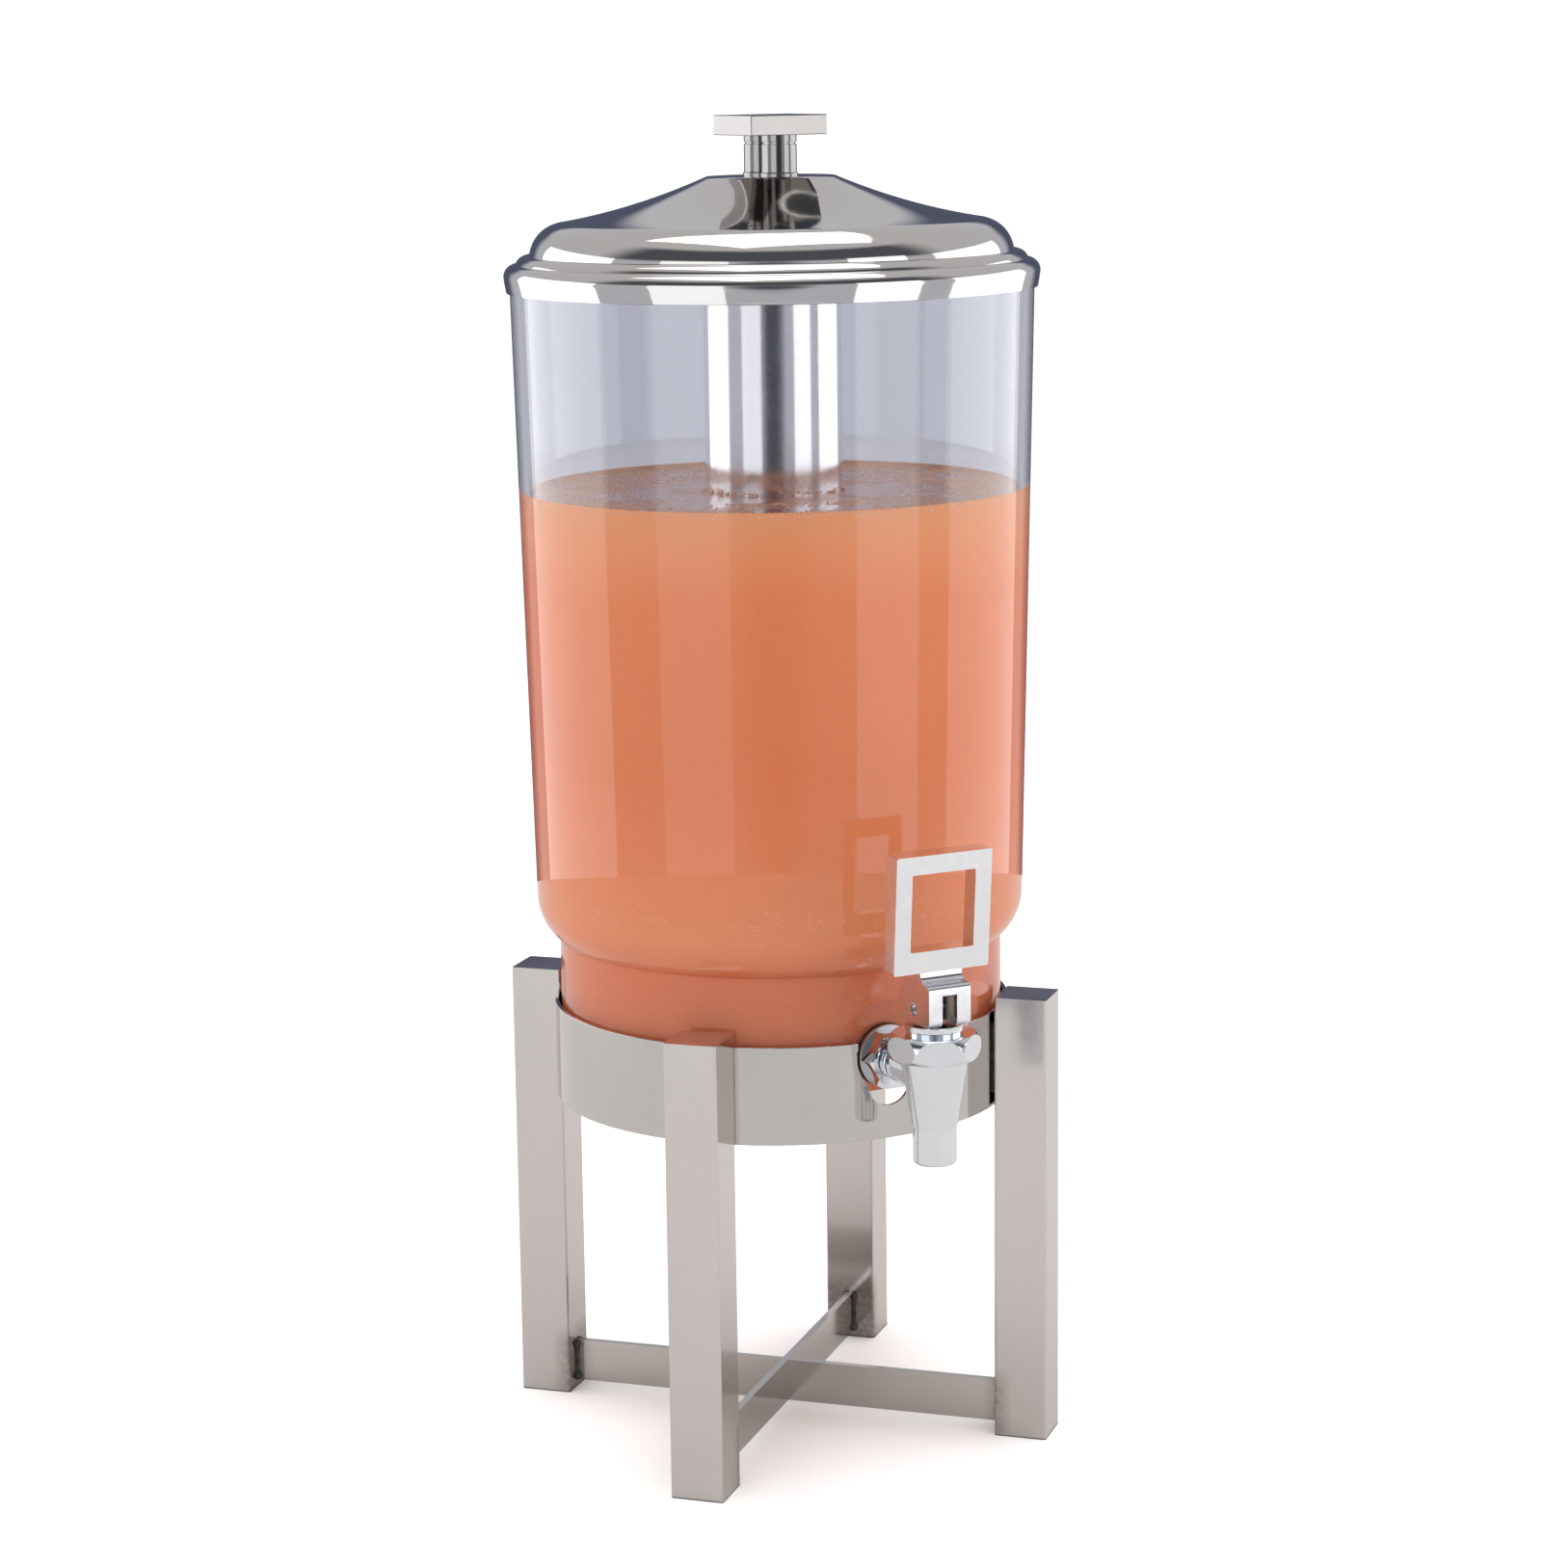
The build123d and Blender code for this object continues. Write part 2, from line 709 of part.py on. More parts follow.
with BuildPart() as faucet_body:
    with BuildSketch(faucet_plane):
        with BuildLine():
            Polyline(
                (0, spout_foot_z),
                (spout_radius, spout_foot_z),
                (spout_radius, cone_low_z),
                (cone_low_radius, cone_low_z),
                (cone_high_radius, body_top_z),
                (0, body_top_z),
                (0, spout_foot_z),
            )
        make_face()
    revolve(axis=faucet_axis)
    with BuildSketch(across(-faucet_reach)):
        Circle(boss_radius)
    extrude(amount=-(faucet_reach + boss_end_y))
    with BuildSketch(across(boss_end_y)):
        Circle(groove_radius)
    extrude(amount=-shank_groove_length)
    with BuildSketch(across(boss_end_y + shank_groove_length)):
        Circle(boss_radius)
    extrude(amount=-shank_collar_length)
    with BuildSketch(across(jam_nut_front)):
        Circle(shank_radius)
    extrude(amount=-(shank_end_y - jam_nut_front))
    with BuildSketch(across(-faucet_reach)):
        Circle(shank_bore_radius)
    extrude(amount=-(faucet_reach + shank_end_y), mode=Mode.SUBTRACT)
    with BuildSketch(faucet_level(spout_foot_z)):
        Circle(spout_bore_radius)
    extrude(amount=body_top_z - spout_foot_z, mode=Mode.SUBTRACT)
    with BuildSketch(faucet_level(chamber_floor_z)):
        Circle(chamber_radius)
    extrude(amount=body_top_z - chamber_floor_z, mode=Mode.SUBTRACT)
save(faucet_body, "faucet_body")


def shank_ring(name, front_y, thickness, radius):
    with BuildPart() as ring:
        with BuildSketch(across(front_y)):
            Circle(radius)
            Circle(shank_radius + nut_bore_gap, mode=Mode.SUBTRACT)
        extrude(amount=-thickness)
    save(ring, name)


def shank_nut(name, front_y, thickness, flats):
    with BuildPart() as nut:
        with BuildSketch(across(front_y)):
            RegularPolygon(flats / 2, 6, major_radius=False)
            Circle(shank_radius + nut_bore_gap, mode=Mode.SUBTRACT)
        extrude(amount=-thickness)
    save(nut, name)


shank_ring("outer_gasket", outer_gasket_front, outer_gasket_thickness, outer_gasket_radius)
shank_ring("shank_washer", washer_front, washer_thickness, washer_radius)
shank_nut("jam_nut", jam_nut_front, jam_nut_thickness, jam_nut_flats)
shank_ring("inner_gasket", inner_pad_y, inner_gasket_thickness, inner_gasket_radius)
shank_nut("lock_nut", inner_gasket_back, lock_nut_thickness, lock_nut_flats)

# six-sided bonnet nut with a barrel outline, and the collar that the handle's heel works on
bonnet_middle_z = body_top_z + bonnet_height / 2
bonnet_end_radius = bonnet_radius - bonnet_round + sqrt(bonnet_round**2 - (bonnet_height / 2) ** 2)
stem_bore = stem_radius + stem_clearance
groove_bottom_z = bonnet_top_z - o_ring_drop - o_ring_section
o_ring_groove_radius = stem_radius + 2 * o_ring_gap + o_ring_section
o_ring_middle = (stem_radius + o_ring_gap + o_ring_section / 2, groove_bottom_z + o_ring_section / 2)

with BuildPart() as bonnet:
    with BuildSketch(faucet_plane):
        with BuildLine():
            Polyline(
                (bonnet_end_radius, bonnet_top_z),
                (0, bonnet_top_z),
                (0, body_top_z),
                (bonnet_end_radius, body_top_z),
            )
            ThreePointArc(
                (bonnet_end_radius, body_top_z),
                (bonnet_radius, bonnet_middle_z),
                (bonnet_end_radius, bonnet_top_z),
            )
        make_face()
    revolve(axis=faucet_axis)
    with BuildSketch(faucet_level(body_top_z)):
        RegularPolygon(bonnet_flats / 2, 6, major_radius=False, rotation=bonnet_turn)
    extrude(amount=bonnet_height, mode=Mode.INTERSECT)
    with BuildSketch(faucet_level(bonnet_top_z)):
        Circle(collar_low_radius)
    extrude(amount=collar_low_height)
    with BuildSketch(faucet_level(bonnet_top_z + collar_low_height)):
        Circle(collar_radius)
    extrude(amount=collar_height)
    with BuildSketch(faucet_level(body_top_z)):
        Circle(chamber_radius - bonnet_skirt_gap)
    extrude(amount=-bonnet_skirt_depth)
    with BuildSketch(faucet_level(body_top_z - bonnet_skirt_depth)):
        Circle(stem_bore)
    extrude(amount=collar_top_z - body_top_z + bonnet_skirt_depth, mode=Mode.SUBTRACT)
    with BuildSketch(faucet_level(groove_bottom_z)):
        Circle(o_ring_groove_radius)
    extrude(amount=o_ring_section, mode=Mode.SUBTRACT)
save(bonnet, "bonnet")

with BuildPart() as stem_o_ring:
    with BuildSketch(faucet_plane):
        with Locations(o_ring_middle):
            Circle((o_ring_section - o_ring_gap) / 2)
    revolve(axis=faucet_axis)
save(stem_o_ring, "stem_o_ring")

# ---------------------------------------------------------------- valve stem

cup_foot_z = chamber_floor_z + cup_seat_gap
stem_top_z = pin_z + stem_top_rise

with BuildPart() as stem:
    with BuildSketch(faucet_level(cup_foot_z + cup_wall)):
        Circle(stem_radius)
    extrude(amount=stem_top_z - cup_foot_z - cup_wall)
    with BuildSketch(Plane.YZ):
        with Locations((-faucet_reach, pin_z)):
            Circle(pin_radius + pin_clearance)
    extrude(amount=block_width, both=True, mode=Mode.SUBTRACT)
save(stem, "stem")

with BuildPart() as seat_cup:
    with BuildSketch(faucet_level(cup_foot_z)):
        Circle(cup_radius)
    extrude(amount=cup_height)
    with BuildSketch(faucet_level(cup_foot_z + cup_wall)):
        Circle(stem_radius + press_gap)
    extrude(amount=cup_height, mode=Mode.SUBTRACT)
save(seat_cup, "seat_cup")

# ---------------------------------------------------------------- handle

side_plane = Plane(origin=(0, -faucet_reach, pin_z), x_dir=(0, 1, 0), z_dir=(1, 0, 0))
lean = radians(frame_lean)
frame_foot_y = -faucet_reach - frame_thickness + frame_foot_back
frame_plane = Plane(
    origin=(0, frame_foot_y, frame_foot_z),
    x_dir=(1, 0, 0),
    z_dir=(0, -cos(lean), -sin(lean)),
)
neck_front = frame_foot_y + faucet_reach
neck_back = neck_front + frame_thickness
neck_top = frame_foot_z - pin_z + frame_edge_radius
heel = block_half_depth
window_width = frame_width - 2 * frame_side_bar
window_height = frame_height - frame_top_bar - frame_bottom_bar
window_middle = frame_bottom_bar + window_height / 2

with BuildPart() as handle:
    with BuildSketch(side_plane):
        with BuildLine():
            Polyline(
                (-heel, face_rise),
                (-heel, -block_bottom_drop),
                (heel, -block_bottom_drop),
                (heel, 0),
            )
            ThreePointArc((heel, 0), (back_bow * heel, neck_top / 2), (neck_back, neck_top))
            Line((neck_back, neck_top), (neck_front, neck_top))
            ThreePointArc(
                (neck_front, neck_top),
                (neck_front - step_bow_in * step_depth, face_rise + neck_bow_up * step_height),
                (step_depth - heel, face_rise + step_height),
            )
            ThreePointArc(
                (step_depth - heel, face_rise + step_height),
                (step_bow_in * step_depth - heel, face_rise + step_bow_up * step_height),
                (-heel, face_rise),
            )
        make_face()
    extrude(amount=block_width / 2, both=True)
    heel_edges = handle.edges().filter_by(Axis.X).group_by(Axis.Z)[0]
    fillet(heel_edges, block_heel_radius)
    with BuildSketch(frame_plane):
        with Locations((0, frame_height / 2)):
            RectangleRounded(frame_width, frame_height, frame_edge_radius)
    extrude(amount=-frame_thickness)
    with BuildSketch(frame_plane):
        with Locations((0, window_middle)):
            Rectangle(window_width, window_height)
    extrude(amount=-frame_thickness, mode=Mode.SUBTRACT)
    # slot for the stem, open at the front and below
    with BuildSketch(side_plane):
        with Locations(((slot_back - 2 * heel) / 2, slot_rise / 2 - block_bottom_drop)):
            Rectangle(slot_back + 2 * heel, slot_rise + 2 * block_bottom_drop)
    extrude(amount=slot_width / 2, both=True, mode=Mode.SUBTRACT)
    with BuildSketch(side_plane):
        Circle(pin_radius + nut_bore_gap)
    extrude(amount=block_width, both=True, mode=Mode.SUBTRACT)
    for side in (1, -1):
        face_x = side * block_width / 2
        with BuildSketch(Plane(origin=(face_x, -faucet_reach, pin_z), x_dir=(0, 1, 0), z_dir=(1, 0, 0))):
            Circle(pin_counterbore_radius)
        extrude(amount=-side * pin_recess, mode=Mode.SUBTRACT)
save(handle, "handle")

with BuildPart() as pivot_pin:
    with BuildSketch(side_plane):
        Circle(pin_radius)
    extrude(amount=block_width / 2 - pin_recess, both=True)
save(pivot_pin, "pivot_pin")
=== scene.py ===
import json
import bmesh
import bpy
from math import asin, atan2, cos, pi, radians, sin, sqrt, tan
from mathutils import Matrix, Vector


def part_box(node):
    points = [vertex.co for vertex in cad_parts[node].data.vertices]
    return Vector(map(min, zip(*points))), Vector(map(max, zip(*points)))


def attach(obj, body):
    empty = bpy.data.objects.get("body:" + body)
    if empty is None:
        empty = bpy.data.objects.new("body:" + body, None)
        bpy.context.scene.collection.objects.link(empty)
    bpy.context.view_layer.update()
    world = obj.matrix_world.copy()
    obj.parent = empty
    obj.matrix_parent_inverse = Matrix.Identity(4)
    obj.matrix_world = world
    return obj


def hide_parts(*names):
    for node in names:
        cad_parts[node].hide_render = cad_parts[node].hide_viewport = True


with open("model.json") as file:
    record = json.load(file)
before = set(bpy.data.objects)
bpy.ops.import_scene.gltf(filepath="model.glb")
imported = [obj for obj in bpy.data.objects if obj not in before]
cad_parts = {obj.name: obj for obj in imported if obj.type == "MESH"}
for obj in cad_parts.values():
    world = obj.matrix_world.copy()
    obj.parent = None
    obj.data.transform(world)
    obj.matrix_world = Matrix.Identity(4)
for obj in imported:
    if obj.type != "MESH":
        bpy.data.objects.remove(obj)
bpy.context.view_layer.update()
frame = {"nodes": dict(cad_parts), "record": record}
print("frame loaded")

mm = 0.001


def inMetres(lengths, **others):
    # lengths are written in millimetres; counts and angles go with the others
    sizes = {name: tuple(part * mm for part in value) if isinstance(value, tuple) else value * mm
             for name, value in lengths.items()}
    return {**sizes, **others}


bpy.context.scene.view_settings.view_transform = "Standard"

# where the main pieces are, read from the frame
tankLow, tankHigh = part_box("tank")
ringLow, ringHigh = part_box("support_ring")
tubeLow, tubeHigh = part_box("ice_tube")
bodyLow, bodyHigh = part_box("faucet_body")
bonnetLow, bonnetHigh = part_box("bonnet")
stemLow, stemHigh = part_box("stem")
pinLow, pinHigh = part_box("pivot_pin")
faucetY = (stemLow.y + stemHigh.y) / 2
shankZ = (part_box("outer_gasket")[0].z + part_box("outer_gasket")[1].z) / 2
pinZ = (pinLow.z + pinHigh.z) / 2


# ---- node helpers ----

class Nodes:
    # adds nodes to a tree; each input gets a value, or a link from another node's socket
    def __init__(self, tree):
        self.tree = tree

    def put(self, socket, value):
        if isinstance(value, bpy.types.NodeSocket):
            self.tree.links.new(value, socket)
        else:
            socket.default_value = value

    def node(self, kind, inputs=None, **settings):
        made = self.tree.nodes.new(kind if "Node" in kind else "ShaderNode" + kind)
        for name, value in settings.items():
            setattr(made, name, value)
        for socket, value in (inputs or {}).items():
            self.put(made.inputs[socket], value)
        return made

    def math(self, operation, first, second=0.0):
        return self.node("Math", {0: first, 1: second}, operation=operation).outputs["Value"]

    def mix(self, factor, first, second):
        # a Mix node's colour sockets share their names with its float ones, so they go by place
        made = self.node("Mix", {0: factor}, data_type="RGBA")
        for place, colour in ((6, first), (7, second)):
            isSocket = isinstance(colour, bpy.types.NodeSocket)
            self.put(made.inputs[place], colour if isSocket else (*colour, 1))
        return made.outputs[2]


class Shader(Nodes):
    # a material with one Principled shader at its end
    def __init__(self, name, **fixed):
        self.material = bpy.data.materials.new(name)
        self.material.use_nodes = True
        super().__init__(self.material.node_tree)
        self.surface = self.tree.nodes["Principled BSDF"]
        for socket, value in fixed.items():
            self.surface.inputs[socket.replace("_", " ")].default_value = value

    def place(self, scale=(1, 1, 1)):
        # object coordinates, stretched
        coordinates = self.node("TexCoord").outputs["Object"]
        return self.node("Mapping", {"Vector": coordinates, "Scale": scale}).outputs["Vector"]

    def fromAxis(self, place):
        # distance from the Z axis
        flat = self.node("VectorMath", {0: place, 1: (1, 1, 0)}, operation="MULTIPLY").outputs["Vector"]
        return self.node("VectorMath", {0: flat}, operation="LENGTH").outputs["Value"]

    def height(self, place):
        return self.node("SeparateXYZ", {"Vector": place}).outputs["Z"]

    def noise(self, vector, scale, detail=3.0, roughness=0.5, distortion=0.0):
        made = self.node("TexNoise", {"Vector": vector, "Scale": scale, "Detail": detail,
                                      "Roughness": roughness, "Distortion": distortion})
        return made.outputs["Fac"]

    def ramp(self, factor, stops):
        made = self.node("ValToRGB", {"Fac": factor})
        ramp = made.color_ramp
        while len(ramp.elements) < len(stops):
            ramp.elements.new(0.5)
        for element, (place, colour) in zip(ramp.elements, stops):
            element.position = place
            element.color = (*colour, 1)
        return made.outputs["Color"]

    def stretch(self, value, low, high, fromLow=0.0, fromHigh=1.0):
        made = self.node("MapRange", {"Value": value, "From Min": fromLow, "From Max": fromHigh,
                                      "To Min": low, "To Max": high})
        return made.outputs["Result"]

    def bump(self, height, distance, strength=1.0):
        made = self.node("Bump", {"Height": height, "Distance": distance, "Strength": strength})
        self.feed("Normal", made.outputs["Normal"])

    def feed(self, socket, value):
        self.tree.links.new(value, self.surface.inputs[socket])


# ---- finishes ----

satinLook = {
    "pale": (0.70, 0.67, 0.65), "dark": (0.62, 0.60, 0.585), "grain": 3600, "roughness": (0.09, 0.18),
    "scorch": (0.16, 0.125, 0.11), "weldReach": 0.095, "scorchWidth": 0.008, "scorchHeight": (0.022, 0.030),
}
polishes = {
    "mirror": {"name": "mirrorSteel", "pale": (0.74, 0.715, 0.69), "dark": (0.70, 0.68, 0.66),
               "roughness": (0.03, 0.09), "smudge": 70.0},
    "handle": {"name": "brightHandle", "pale": (0.88, 0.895, 0.92), "dark": (0.79, 0.805, 0.84),
               "roughness": (0.10, 0.18), "smudge": 160.0},
    # knob plate: the same polished steel as the lid, given a darker colour, which is painted shade
    "plate": {"name": "knobSteel", "pale": (0.46, 0.44, 0.42), "dark": (0.38, 0.365, 0.35),
              "roughness": (0.03, 0.08), "smudge": 70.0},
    # ice tube: a rougher rolled finish, with a paler colour than the lid's steel that is painted light
    "tube": {"name": "tubeSteel", "pale": (0.95, 0.93, 0.905), "dark": (0.86, 0.845, 0.82),
             "roughness": (0.08, 0.17), "smudge": 45.0},
    # support ring band: the same polished steel as the lid, given a darker colour, which is painted shade
    "band": {"name": "bandSteel", "pale": (0.60, 0.585, 0.565), "dark": (0.55, 0.535, 0.52),
             "roughness": (0.03, 0.08), "smudge": 70.0},
    # knob posts: the same polished steel as the lid, given a much darker colour, which is painted shade for
    # the dark room they mirror
    "post": {"name": "darkPost", "pale": (0.40, 0.385, 0.37), "dark": (0.30, 0.29, 0.285),
             "roughness": (0.03, 0.09), "smudge": 70.0},
    "chrome": {"name": "chrome", "pale": (0.82, 0.845, 0.885), "dark": (0.74, 0.77, 0.82),
               "roughness": (0.05, 0.13), "smudge": 110.0},
}


def makeSatinSteel(look):
    # stainless tube polished with a fine belt along its length, with heat tint close to the welds
    shader = Shader("satinSteel", Metallic=1.0)
    grain = shader.noise(shader.place((look["grain"], look["grain"], 60)), 1.0, 2.0, 0.5)
    cloud = shader.noise(shader.place((18, 18, 6)), 1.0, 2.0)
    tone = shader.math("ADD", shader.stretch(grain, 0, 0.3), shader.stretch(cloud, 0, 0.7))
    colour = shader.mix(tone, look["dark"], look["pale"])
    place = shader.place()
    away = shader.math("ABSOLUTE", shader.math("SUBTRACT", shader.fromAxis(place), look["weldReach"]))
    near = shader.stretch(away, 1.0, 0.0, 0.0, look["scorchWidth"])
    low = shader.stretch(shader.height(place), 1.0, 0.0, *look["scorchHeight"])
    uneven = shader.stretch(shader.noise(place, 380.0), 0.1, 1.0)
    scorch = shader.math("MULTIPLY", shader.math("MULTIPLY", near, low), uneven)
    shader.feed("Base Color", shader.mix(scorch, colour, look["scorch"]))
    worn = shader.math("MULTIPLY", grain, cloud)
    shader.feed("Roughness", shader.stretch(worn, *look["roughness"], 0.1, 0.45))
    shader.bump(grain, 0.000004)
    return shader.material


def makeMirror(look):
    # polished metal with faint polishing swirls and a few smudges
    shader = Shader(look["name"], Metallic=1.0)
    place = shader.place()
    swirl = shader.noise(place, look["smudge"], 4.0, 0.55, 0.6)
    fine = shader.noise(place, 900.0, 2.0)
    shader.feed("Base Color", shader.mix(swirl, look["dark"], look["pale"]))
    worn = shader.math("MULTIPLY", swirl, fine)
    shader.feed("Roughness", shader.stretch(worn, *look["roughness"], 0.12, 0.42))
    shader.bump(shader.noise(place, 34.0, 1.0), 0.00004)
    return shader.material


def makeClear():
    # thick clear plastic, a little grey, with faint mould streaks and a few wipe marks
    shader = Shader("clearPlastic", IOR=1.49, Transmission_Weight=1.0, Base_Color=(0.87, 0.88, 0.915, 1))
    wipe = shader.noise(shader.place((1, 1, 0.25)), 60.0, 5.0, 0.6, 0.4)
    shader.feed("Roughness", shader.stretch(wipe, 0.0, 0.05, 0.55, 0.8))
    shader.bump(shader.noise(shader.place((1, 1, 0.12)), 22.0, 1.0), 0.00006)
    return shader.material


juiceLook = {
    "foot": 0.161, "level": 0.395, "drift": 0.015, "pulp": (1.0, 0.52, 0.27),
    "depths": [(0.0, (0.80, 0.21, 0.095)), (0.2, (0.83, 0.24, 0.11)), (0.3, (0.92, 0.33, 0.145)),
               (0.55, (0.89, 0.27, 0.105)), (0.85, (0.91, 0.30, 0.12)), (1.0, (0.96, 0.42, 0.195))],
    "deep": (0.56, 0.15, 0.09), "froth": (0.95, 0.50, 0.30), "frothRim": (0.065, 0.1),
}


def makeJuice(look):
    # cloudy orange juice with pulp: paler under its surface and at the shoulder, redder in the base
    shader = Shader("juice", Roughness=0.55, Specular_IOR_Level=0.1)
    place = shader.place()
    cloud = shader.noise(place, 9.0, 3.0)
    pulp = shader.noise(place, 420.0, 3.0, 0.7)
    drift = shader.stretch(cloud, -look["drift"], look["drift"])
    height = shader.math("ADD", shader.height(place), drift)
    body = shader.ramp(shader.stretch(height, 0.0, 1.0, look["foot"], look["level"]), look["depths"])
    shader.feed("Base Color", shader.mix(shader.stretch(pulp, 0.0, 0.22), body, look["pulp"]))
    return shader.material


def makeJuiceTop(look):
    # the glossy top of the juice, with pale froth in patches and towards the wall
    shader = Shader("juiceTop", Roughness=0.2, IOR=1.34)
    place = shader.place()
    patch = shader.noise(place, 26.0, 5.0, 0.62, 0.9)
    speck = shader.noise(place, 330.0, 3.0, 0.7)
    rim = shader.stretch(shader.fromAxis(place), 0.0, 0.16, *look["frothRim"])
    drift = shader.math("ADD", shader.math("ADD", patch, rim), shader.stretch(speck, -0.06, 0.06))
    froth = shader.stretch(drift, 0.0, 1.0, 0.47, 0.66)
    shader.feed("Base Color", shader.mix(froth, look["deep"], look["froth"]))
    shader.feed("Roughness", shader.stretch(froth, 0.16, 0.5))
    shader.bump(shader.math("ADD", patch, shader.stretch(speck, 0, 0.2)), 0.0006, 0.5)
    return shader.material


def makeBubble():
    # pale froth: thin walls that catch the light
    shader = Shader("bubble", IOR=1.33)
    tone = shader.noise(shader.place(), 240.0, 2.0)
    shader.feed("Base Color", shader.mix(tone, (0.93, 0.47, 0.28), (0.97, 0.64, 0.45)))
    shader.feed("Roughness", shader.stretch(tone, 0.3, 0.5))
    return shader.material


def makeRubber(name, tint, roughness):
    shader = Shader(name)
    place = shader.place()
    grain = shader.noise(place, 1800.0, 3.0)
    patch = shader.noise(place, 90.0, 3.0)
    shader.feed("Base Color", shader.mix(patch, [0.7 * part for part in tint], tint))
    shader.feed("Roughness", shader.stretch(patch, roughness - 0.1, roughness + 0.1))
    shader.bump(grain, 0.00002)
    return shader.material


def makeTurned(name, pale, dark, roughness):
    # plain turned steel with fine rings along Z
    shader = Shader(name, Metallic=1.0)
    rings = shader.noise(shader.place((20, 20, 2600)), 1.0, 2.0)
    stain = shader.noise(shader.place(), 260.0, 4.0, 0.6)
    shader.feed("Base Color", shader.mix(stain, dark, pale))
    shader.feed("Roughness", shader.stretch(stain, roughness - 0.06, roughness + 0.1))
    shader.bump(rings, 0.00002)
    return shader.material


def makeWeld():
    # dark oxidised weld bead with burnt spots
    shader = Shader("weldBead", Metallic=0.8)
    place = shader.place()
    scale = shader.noise(place, 900.0, 4.0, 0.65)
    spots = shader.noise(place, 320.0, 3.0)
    shader.feed("Base Color", shader.mix(spots, (0.018, 0.018, 0.02), (0.15, 0.145, 0.145)))
    shader.feed("Roughness", shader.stretch(scale, 0.25, 0.6))
    shader.bump(scale, 0.0002)
    return shader.material


finishes = {
    "satin": makeSatinSteel(satinLook),
    **{name: makeMirror(look) for name, look in polishes.items()},
    "clear": makeClear(),
    "juice": makeJuice(juiceLook),
    "juiceTop": makeJuiceTop(juiceLook),
    "bubble": makeBubble(),
    "blackRubber": makeRubber("blackRubber", (0.022, 0.022, 0.024), 0.55),
    "silicone": makeRubber("silicone", (0.80, 0.80, 0.78), 0.42),
    "blackNylon": makeRubber("blackNylon", (0.04, 0.04, 0.042), 0.5),
    "stemSteel": makeTurned("stemSteel", (0.46, 0.38, 0.29), (0.24, 0.19, 0.14), 0.30),
    "plainSteel": makeTurned("plainSteel", (0.66, 0.66, 0.66), (0.52, 0.52, 0.53), 0.28),
    "weld": makeWeld(),
}
print("finishes made")


# ---- mesh helpers ----

def addObject(name, data):
    made = bpy.data.objects.new(name, data)
    bpy.context.scene.collection.objects.link(made)
    return made


def addPiece(name, mesh, body, finish, nodes=()):
    piece = addObject(name, mesh)
    if finish:
        mesh.materials.append(finishes[finish])
    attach(piece, body)
    if nodes:
        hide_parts(*nodes)
    evenNormals(piece)
    return piece


def evenNormals(piece):
    # large flat faces keep their own normals beside rounded edges
    modifier = piece.modifiers.new("evenNormals", "WEIGHTED_NORMAL")
    modifier.keep_sharp = True


def smooth(mesh, angle=30.0):
    mesh.polygons.foreach_set("use_smooth", [True] * len(mesh.polygons))
    mesh.set_sharp_from_angle(angle=radians(angle))
    return mesh


def arc(start, middle, end, steps):
    # points on the circle through three points, from start to end
    ax, ay = start
    bx, by = middle
    cx, cy = end
    d = 2 * (ax * (by - cy) + bx * (cy - ay) + cx * (ay - by))
    ux = ((ax**2 + ay**2) * (by - cy) + (bx**2 + by**2) * (cy - ay) + (cx**2 + cy**2) * (ay - by)) / d
    uy = ((ax**2 + ay**2) * (cx - bx) + (bx**2 + by**2) * (ax - cx) + (cx**2 + cy**2) * (bx - ax)) / d
    radius = sqrt((ax - ux)**2 + (ay - uy)**2)
    first = atan2(ay - uy, ax - ux)
    turn = (atan2(cy - uy, cx - ux) - first) % (2 * pi)
    through = (atan2(by - uy, bx - ux) - first) % (2 * pi)
    if through > turn:
        turn -= 2 * pi
    return sweep((ux, uy), radius, first, first + turn, steps)


def sweep(centre, radius, start, end, steps):
    # points on a circle from one angle to another
    return [(centre[0] + radius * cos(start + (end - start) * i / steps),
             centre[1] + radius * sin(start + (end - start) * i / steps)) for i in range(steps + 1)]


def rectangle(left, right, low, high):
    return [(left, low), (right, low), (right, high), (left, high)]


def rounded(points, radii, steps=3):
    # a closed outline with rounded corners: radii is one radius, or a dictionary of corner numbers
    out = []
    count = len(points)
    for i, point in enumerate(points):
        radius = radii.get(i, 0) if isinstance(radii, dict) else radii
        if not radius:
            out.append(point)
            continue
        here = Vector(point)
        back = (Vector(points[i - 1]) - here).normalized()
        ahead = (Vector(points[(i + 1) % count]) - here).normalized()
        half = back.angle(ahead) / 2
        reach = radius / tan(half)
        centre = here + (back + ahead).normalized() * (radius / sin(half))
        start, end = here + back * reach, here + ahead * reach
        nearest = centre + (here - centre).normalized() * radius
        out += arc(tuple(start), tuple(nearest), tuple(end), steps)
    return out


def circle(radius, steps=64):
    return [(radius * cos(2 * pi * i / steps), radius * sin(2 * pi * i / steps)) for i in range(steps)]


